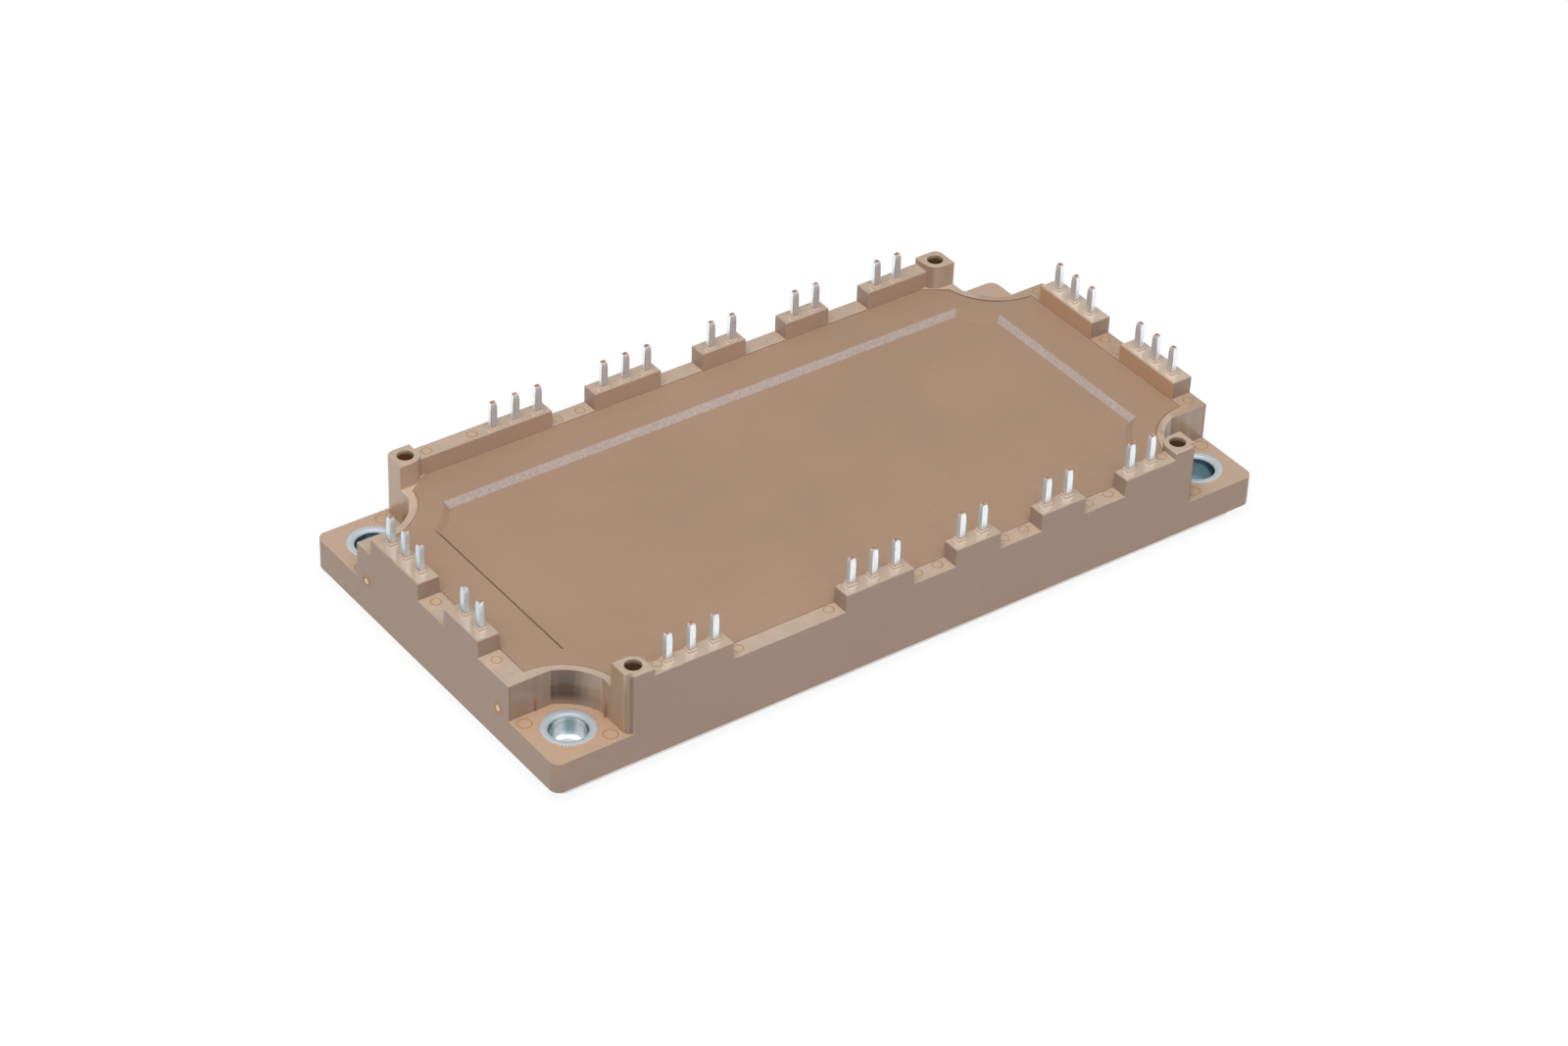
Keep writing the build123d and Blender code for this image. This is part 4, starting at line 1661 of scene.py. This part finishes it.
@dataclass
class HousingMarks:
    """Ejector rings, gate rings and parting lines of the housing, by level and side."""

    flange_z: float = 7.1
    rim_z: float = 13.0
    ledge_z: float = 15.9
    end_z: float = 7.7
    end_x: float = -61.0
    hole_ring: float = 2.05
    gate_ring: float = 1.5
    end_ring: float = 1.8
    end_middle: float = 0.50
    ejectors: Sequence[Plan] = ((59.4, 20.95), (51.0, 29.2))
    wall_feet: Sequence[Plan] = ((56.7, 19.5), (49.62, 25.75))
    rim_gates: Sequence[Plan] = (
        (-30.4, -29.4), (-15.0, -29.1), (0.3, -29.1), (3.8, -29.1), (15.45, -29.3), (19.1, -29.1),
        (30.7, -29.3), (34.5, -29.1), (-21.1, 29.4), (-17.1, 29.45), (-59.05, 1.84), (-59.05, -13.56),
        (59.3, 2.06), (58.7, -1.3), (59.0, 18.05), (59.4, -17.2),
    )
    ledge_gates: Sequence[Plan] = ((-43.6, -29.1), (44.05, -29.1), (-35.7, 29.4), (-43.3, 29.4))
    end_marks: Sequence[float] = (-16.8, 17.1)

    def build(self, finish: Material, pale: Material) -> List[Piece]:
        """Builds every mark.

        Args:
            finish: Finish of the marks.
            pale: Finish of the pale middles of the marks on the left end.

        Returns:
            The finished pieces.
        """
        flange = [((x, y, self.flange_z), self.hole_ring) for x, y in self._four_ways(self.ejectors)]
        rim = [((x, y, self.rim_z), self.gate_ring) for x, y in self.rim_gates]
        ledge = [((x, y, self.ledge_z), self.gate_ring) for x, y in self.ledge_gates]
        face = [((self.end_x, y, self.end_z), self.end_ring) for y in self.end_marks]
        middles = [(place, self.end_middle) for place, _ in face]
        left = (-1.0, 0.0, 0.0)
        return [
            RaisedRings("flange_rings", flange).build(finish),
            RaisedRings("rim_rings", rim).build(finish),
            RaisedRings("ledge_rings", ledge).build(finish),
            RaisedRings("end_rings", face, left, 0.17, 0.09).build(finish),
            RaisedRings("end_middles", middles, left, 0.46, 0.07).build(pale),
            FlashLines("pocket_lines", self._four_ways(self.wall_feet)).build(finish),
        ]

    @staticmethod
    def _four_ways(places: Sequence[Plan]) -> List[Plan]:
        """The places in all four corners."""
        return [(sx * x, sy * y) for sx in (-1, 1) for sy in (-1, 1) for x, y in places]


@dataclass
class Studio:
    """Camera, light, floor and background."""

    camera_place: Point = (-305.61, -403.17, 373.29)
    camera_pitch: float = 53.836
    camera_roll: float = -1.849
    camera_heading: float = -35.695
    lens: float = 99.5
    sensor: float = 36.0
    key_place: Point = (-230.0, -260.0, 800.0)
    key_size: float = 700.0
    key_power: float = 5.6
    sky: float = 0.40
    veil_toward: Point = (0.486, 0.641, 0.594)
    veil_edge: Span = (0.955, 0.98)
    veil_level: float = 0.3
    floor_size: float = 6000.0
    floor_white: float = 0.62
    floor_seen: float = 0.12
    floor_glow: float = 0.90
    floor_roughness: float = 0.9

    def build(self) -> None:
        """Builds everything round the object."""
        self._camera()
        self._world()
        self._floor()
        self._lamp()
        bpy.context.scene.view_settings.view_transform = "Standard"

    def _camera(self) -> None:
        """Places the camera at the photograph's angle."""
        data = bpy.data.cameras.new("camera")
        data.lens = self.lens
        data.sensor_width = self.sensor
        data.clip_start = 0.01
        data.clip_end = 20.0
        camera = bpy.data.objects.new("camera", data)
        camera.location = tuple(value * MM for value in self.camera_place)
        turns = (self.camera_pitch, self.camera_roll, self.camera_heading)
        camera.rotation_euler = tuple(math.radians(turn) for turn in turns)
        bpy.context.scene.collection.objects.link(camera)
        bpy.context.scene.camera = camera

    def _world(self) -> None:
        """Soft sky for the object, white for the camera, and a level of its own for glossy surfaces.

        The glossy level is dimmer round the direction where the ledges mirror the sky.
        """
        world = bpy.data.worlds.new("studio")
        world.use_nodes = True
        world.node_tree.nodes.clear()
        bpy.context.scene.world = world
        graph = Graph(world.node_tree)
        path = graph.node("ShaderNodeLightPath").outputs
        direction = graph.parts(graph.node("ShaderNodeTexCoord").outputs["Generated"])
        level = graph.step(direction[2], (0.05, 0.5), 0.9, 0.4)
        zenith = graph.step(direction[2], (0.7, 0.95), 0.0, 0.5)
        darker = graph.step(direction[0], (-0.9, 0.1), 0.6, 1.0)
        veil = graph.plus(*(graph.times(part, toward) for part, toward in zip(direction, self.veil_toward)))
        dimmed = graph.step(veil, self.veil_edge, 1.0, self.veil_level)
        mirrored = graph.times(graph.plus(level, zenith), darker, dimmed)
        seen = graph.most(path["Is Camera Ray"], path["Is Transmission Ray"])
        glossy = graph.times(path["Is Glossy Ray"], graph.minus(mirrored, self.sky))
        background = graph.node("ShaderNodeBackground")
        graph.feed(background.inputs["Color"], WHITE)
        graph.feed(background.inputs["Strength"], graph.most(graph.plus(self.sky, glossy), seen))
        output = graph.node("ShaderNodeOutputWorld")
        graph.feed(output.inputs["Surface"], background.outputs[0])

    def _floor(self) -> None:
        """White floor that keeps a faint shadow of the object."""
        half = self.floor_size / 2 * MM
        corners = np.array([[-half, -half, 0.0], [half, -half, 0.0], [half, half, 0.0], [-half, half, 0.0]])
        floor = piece_from_arrays("floor", corners, np.array([[0, 1, 2, 3]]), smooth=False)
        graph = Painter("white floor")
        path = graph.node("ShaderNodeLightPath").outputs
        seen = graph.most(path["Is Camera Ray"], path["Is Glossy Ray"], path["Is Transmission Ray"])
        graph.fill({
            "Roughness": self.floor_roughness,
            "Specular IOR Level": 0.0,
            "Base Color": graph.mix(path["Is Camera Ray"], grey(self.floor_white), grey(self.floor_seen)),
            "Emission Color": WHITE,
            "Emission Strength": graph.times(seen, self.floor_glow),
        })
        floor.data.materials.append(graph.material)

    def _lamp(self) -> None:
        """Adds a square lamp that points at the module and isn't mirrored."""
        data = bpy.data.lights.new("key", "AREA")
        data.shape = "SQUARE"
        data.size = self.key_size * MM
        data.energy = self.key_power
        lamp = bpy.data.objects.new("key", data)
        lamp.visible_glossy = False
        at = np.array(self.key_place) * MM
        lamp.location = tuple(at)
        tilt = math.acos(at[2] / float(np.linalg.norm(at)))
        lamp.rotation_euler = (tilt, 0.0, math.atan2(at[1], at[0]) + math.pi / 2)
        bpy.context.scene.collection.objects.link(lamp)


@dataclass
class PowerModule:
    """The whole module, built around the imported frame."""

    frame: dict
    effects: Effects
    break_width: float = 0.17
    lid_break_width: float = 0.08
    lid_break_angle: float = 35.0
    wall_end: Plan = (49.4, 31.0)
    sleeves: int = 4

    def build(self) -> None:
        """Dresses the nodes and adds the fine pieces."""
        materials = {slot: finish.material(self.effects) for slot, finish in FINISHES.items()}
        # The edge finish is the painted edge highlight; the pale middles of the end marks use it too.
        edge, flash = EDGE_HIGHLIGHT.material(self.effects), FLASH.material(self.effects)
        housing, lid = materials[Slot.HOUSING], materials[Slot.LID]
        self._dress_nodes(materials)
        frame_copy = MouldedCopy("housing_frame", Slot.HOUSING, self.break_width, wall_end=self.wall_end)
        frame_copy.build(self.frame, housing, edge)
        LOG.info("housing skin built")
        MouldedCopy("lid", Slot.LID, self.lid_break_width, self.lid_break_angle).build(self.frame, lid, lid)
        LidBead().build(self.frame, housing)
        LOG.info("lid skin and bead built")
        PinFlash().build(self._pins(materials[Slot.PIN]), flash)
        for number in range(1, self.sleeves + 1):
            Sleeve(f"bushing_{number}").build(materials[Slot.BUSHING])
            SleeveSeat(f"bushing_{number}").build(housing)
        LOG.info("sleeves built")
        marks = HousingMarks().build(flash, edge)
        LOG.info("%d groups of moulding marks built", len(marks))

    def _dress_nodes(self, materials: Dict[Slot, Material]) -> None:
        """Gives every node the finish of its slot.

        Args:
            materials: A material for each slot.
        """
        for entry in self.frame["record"]["subparts"]:
            node = self.frame["nodes"][entry["node"]]
            node.data.materials.clear()
            node.data.materials.append(materials[Slot(entry["material_slot"])])

    def _pins(self, finish: Material) -> List[SolderPin]:
        """Builds every pin.

        Args:
            finish: Finish of the pins.

        Returns:
            The pins.
        """
        nodes = sorted(name for name in self.frame["nodes"] if name.startswith("pin_"))
        pins = [SolderPin(node, Side[node.split("_")[1].upper()]) for node in nodes]
        for pin in pins:
            pin.build(finish)
        LOG.info("%d pins built", len(pins))
        return pins


def main() -> None:
    """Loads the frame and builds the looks."""
    logging.basicConfig(level=logging.INFO)
    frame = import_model()
    PowerModule(frame, Effects()).build()
    Studio().build()


if __name__ == "__main__":
    main()
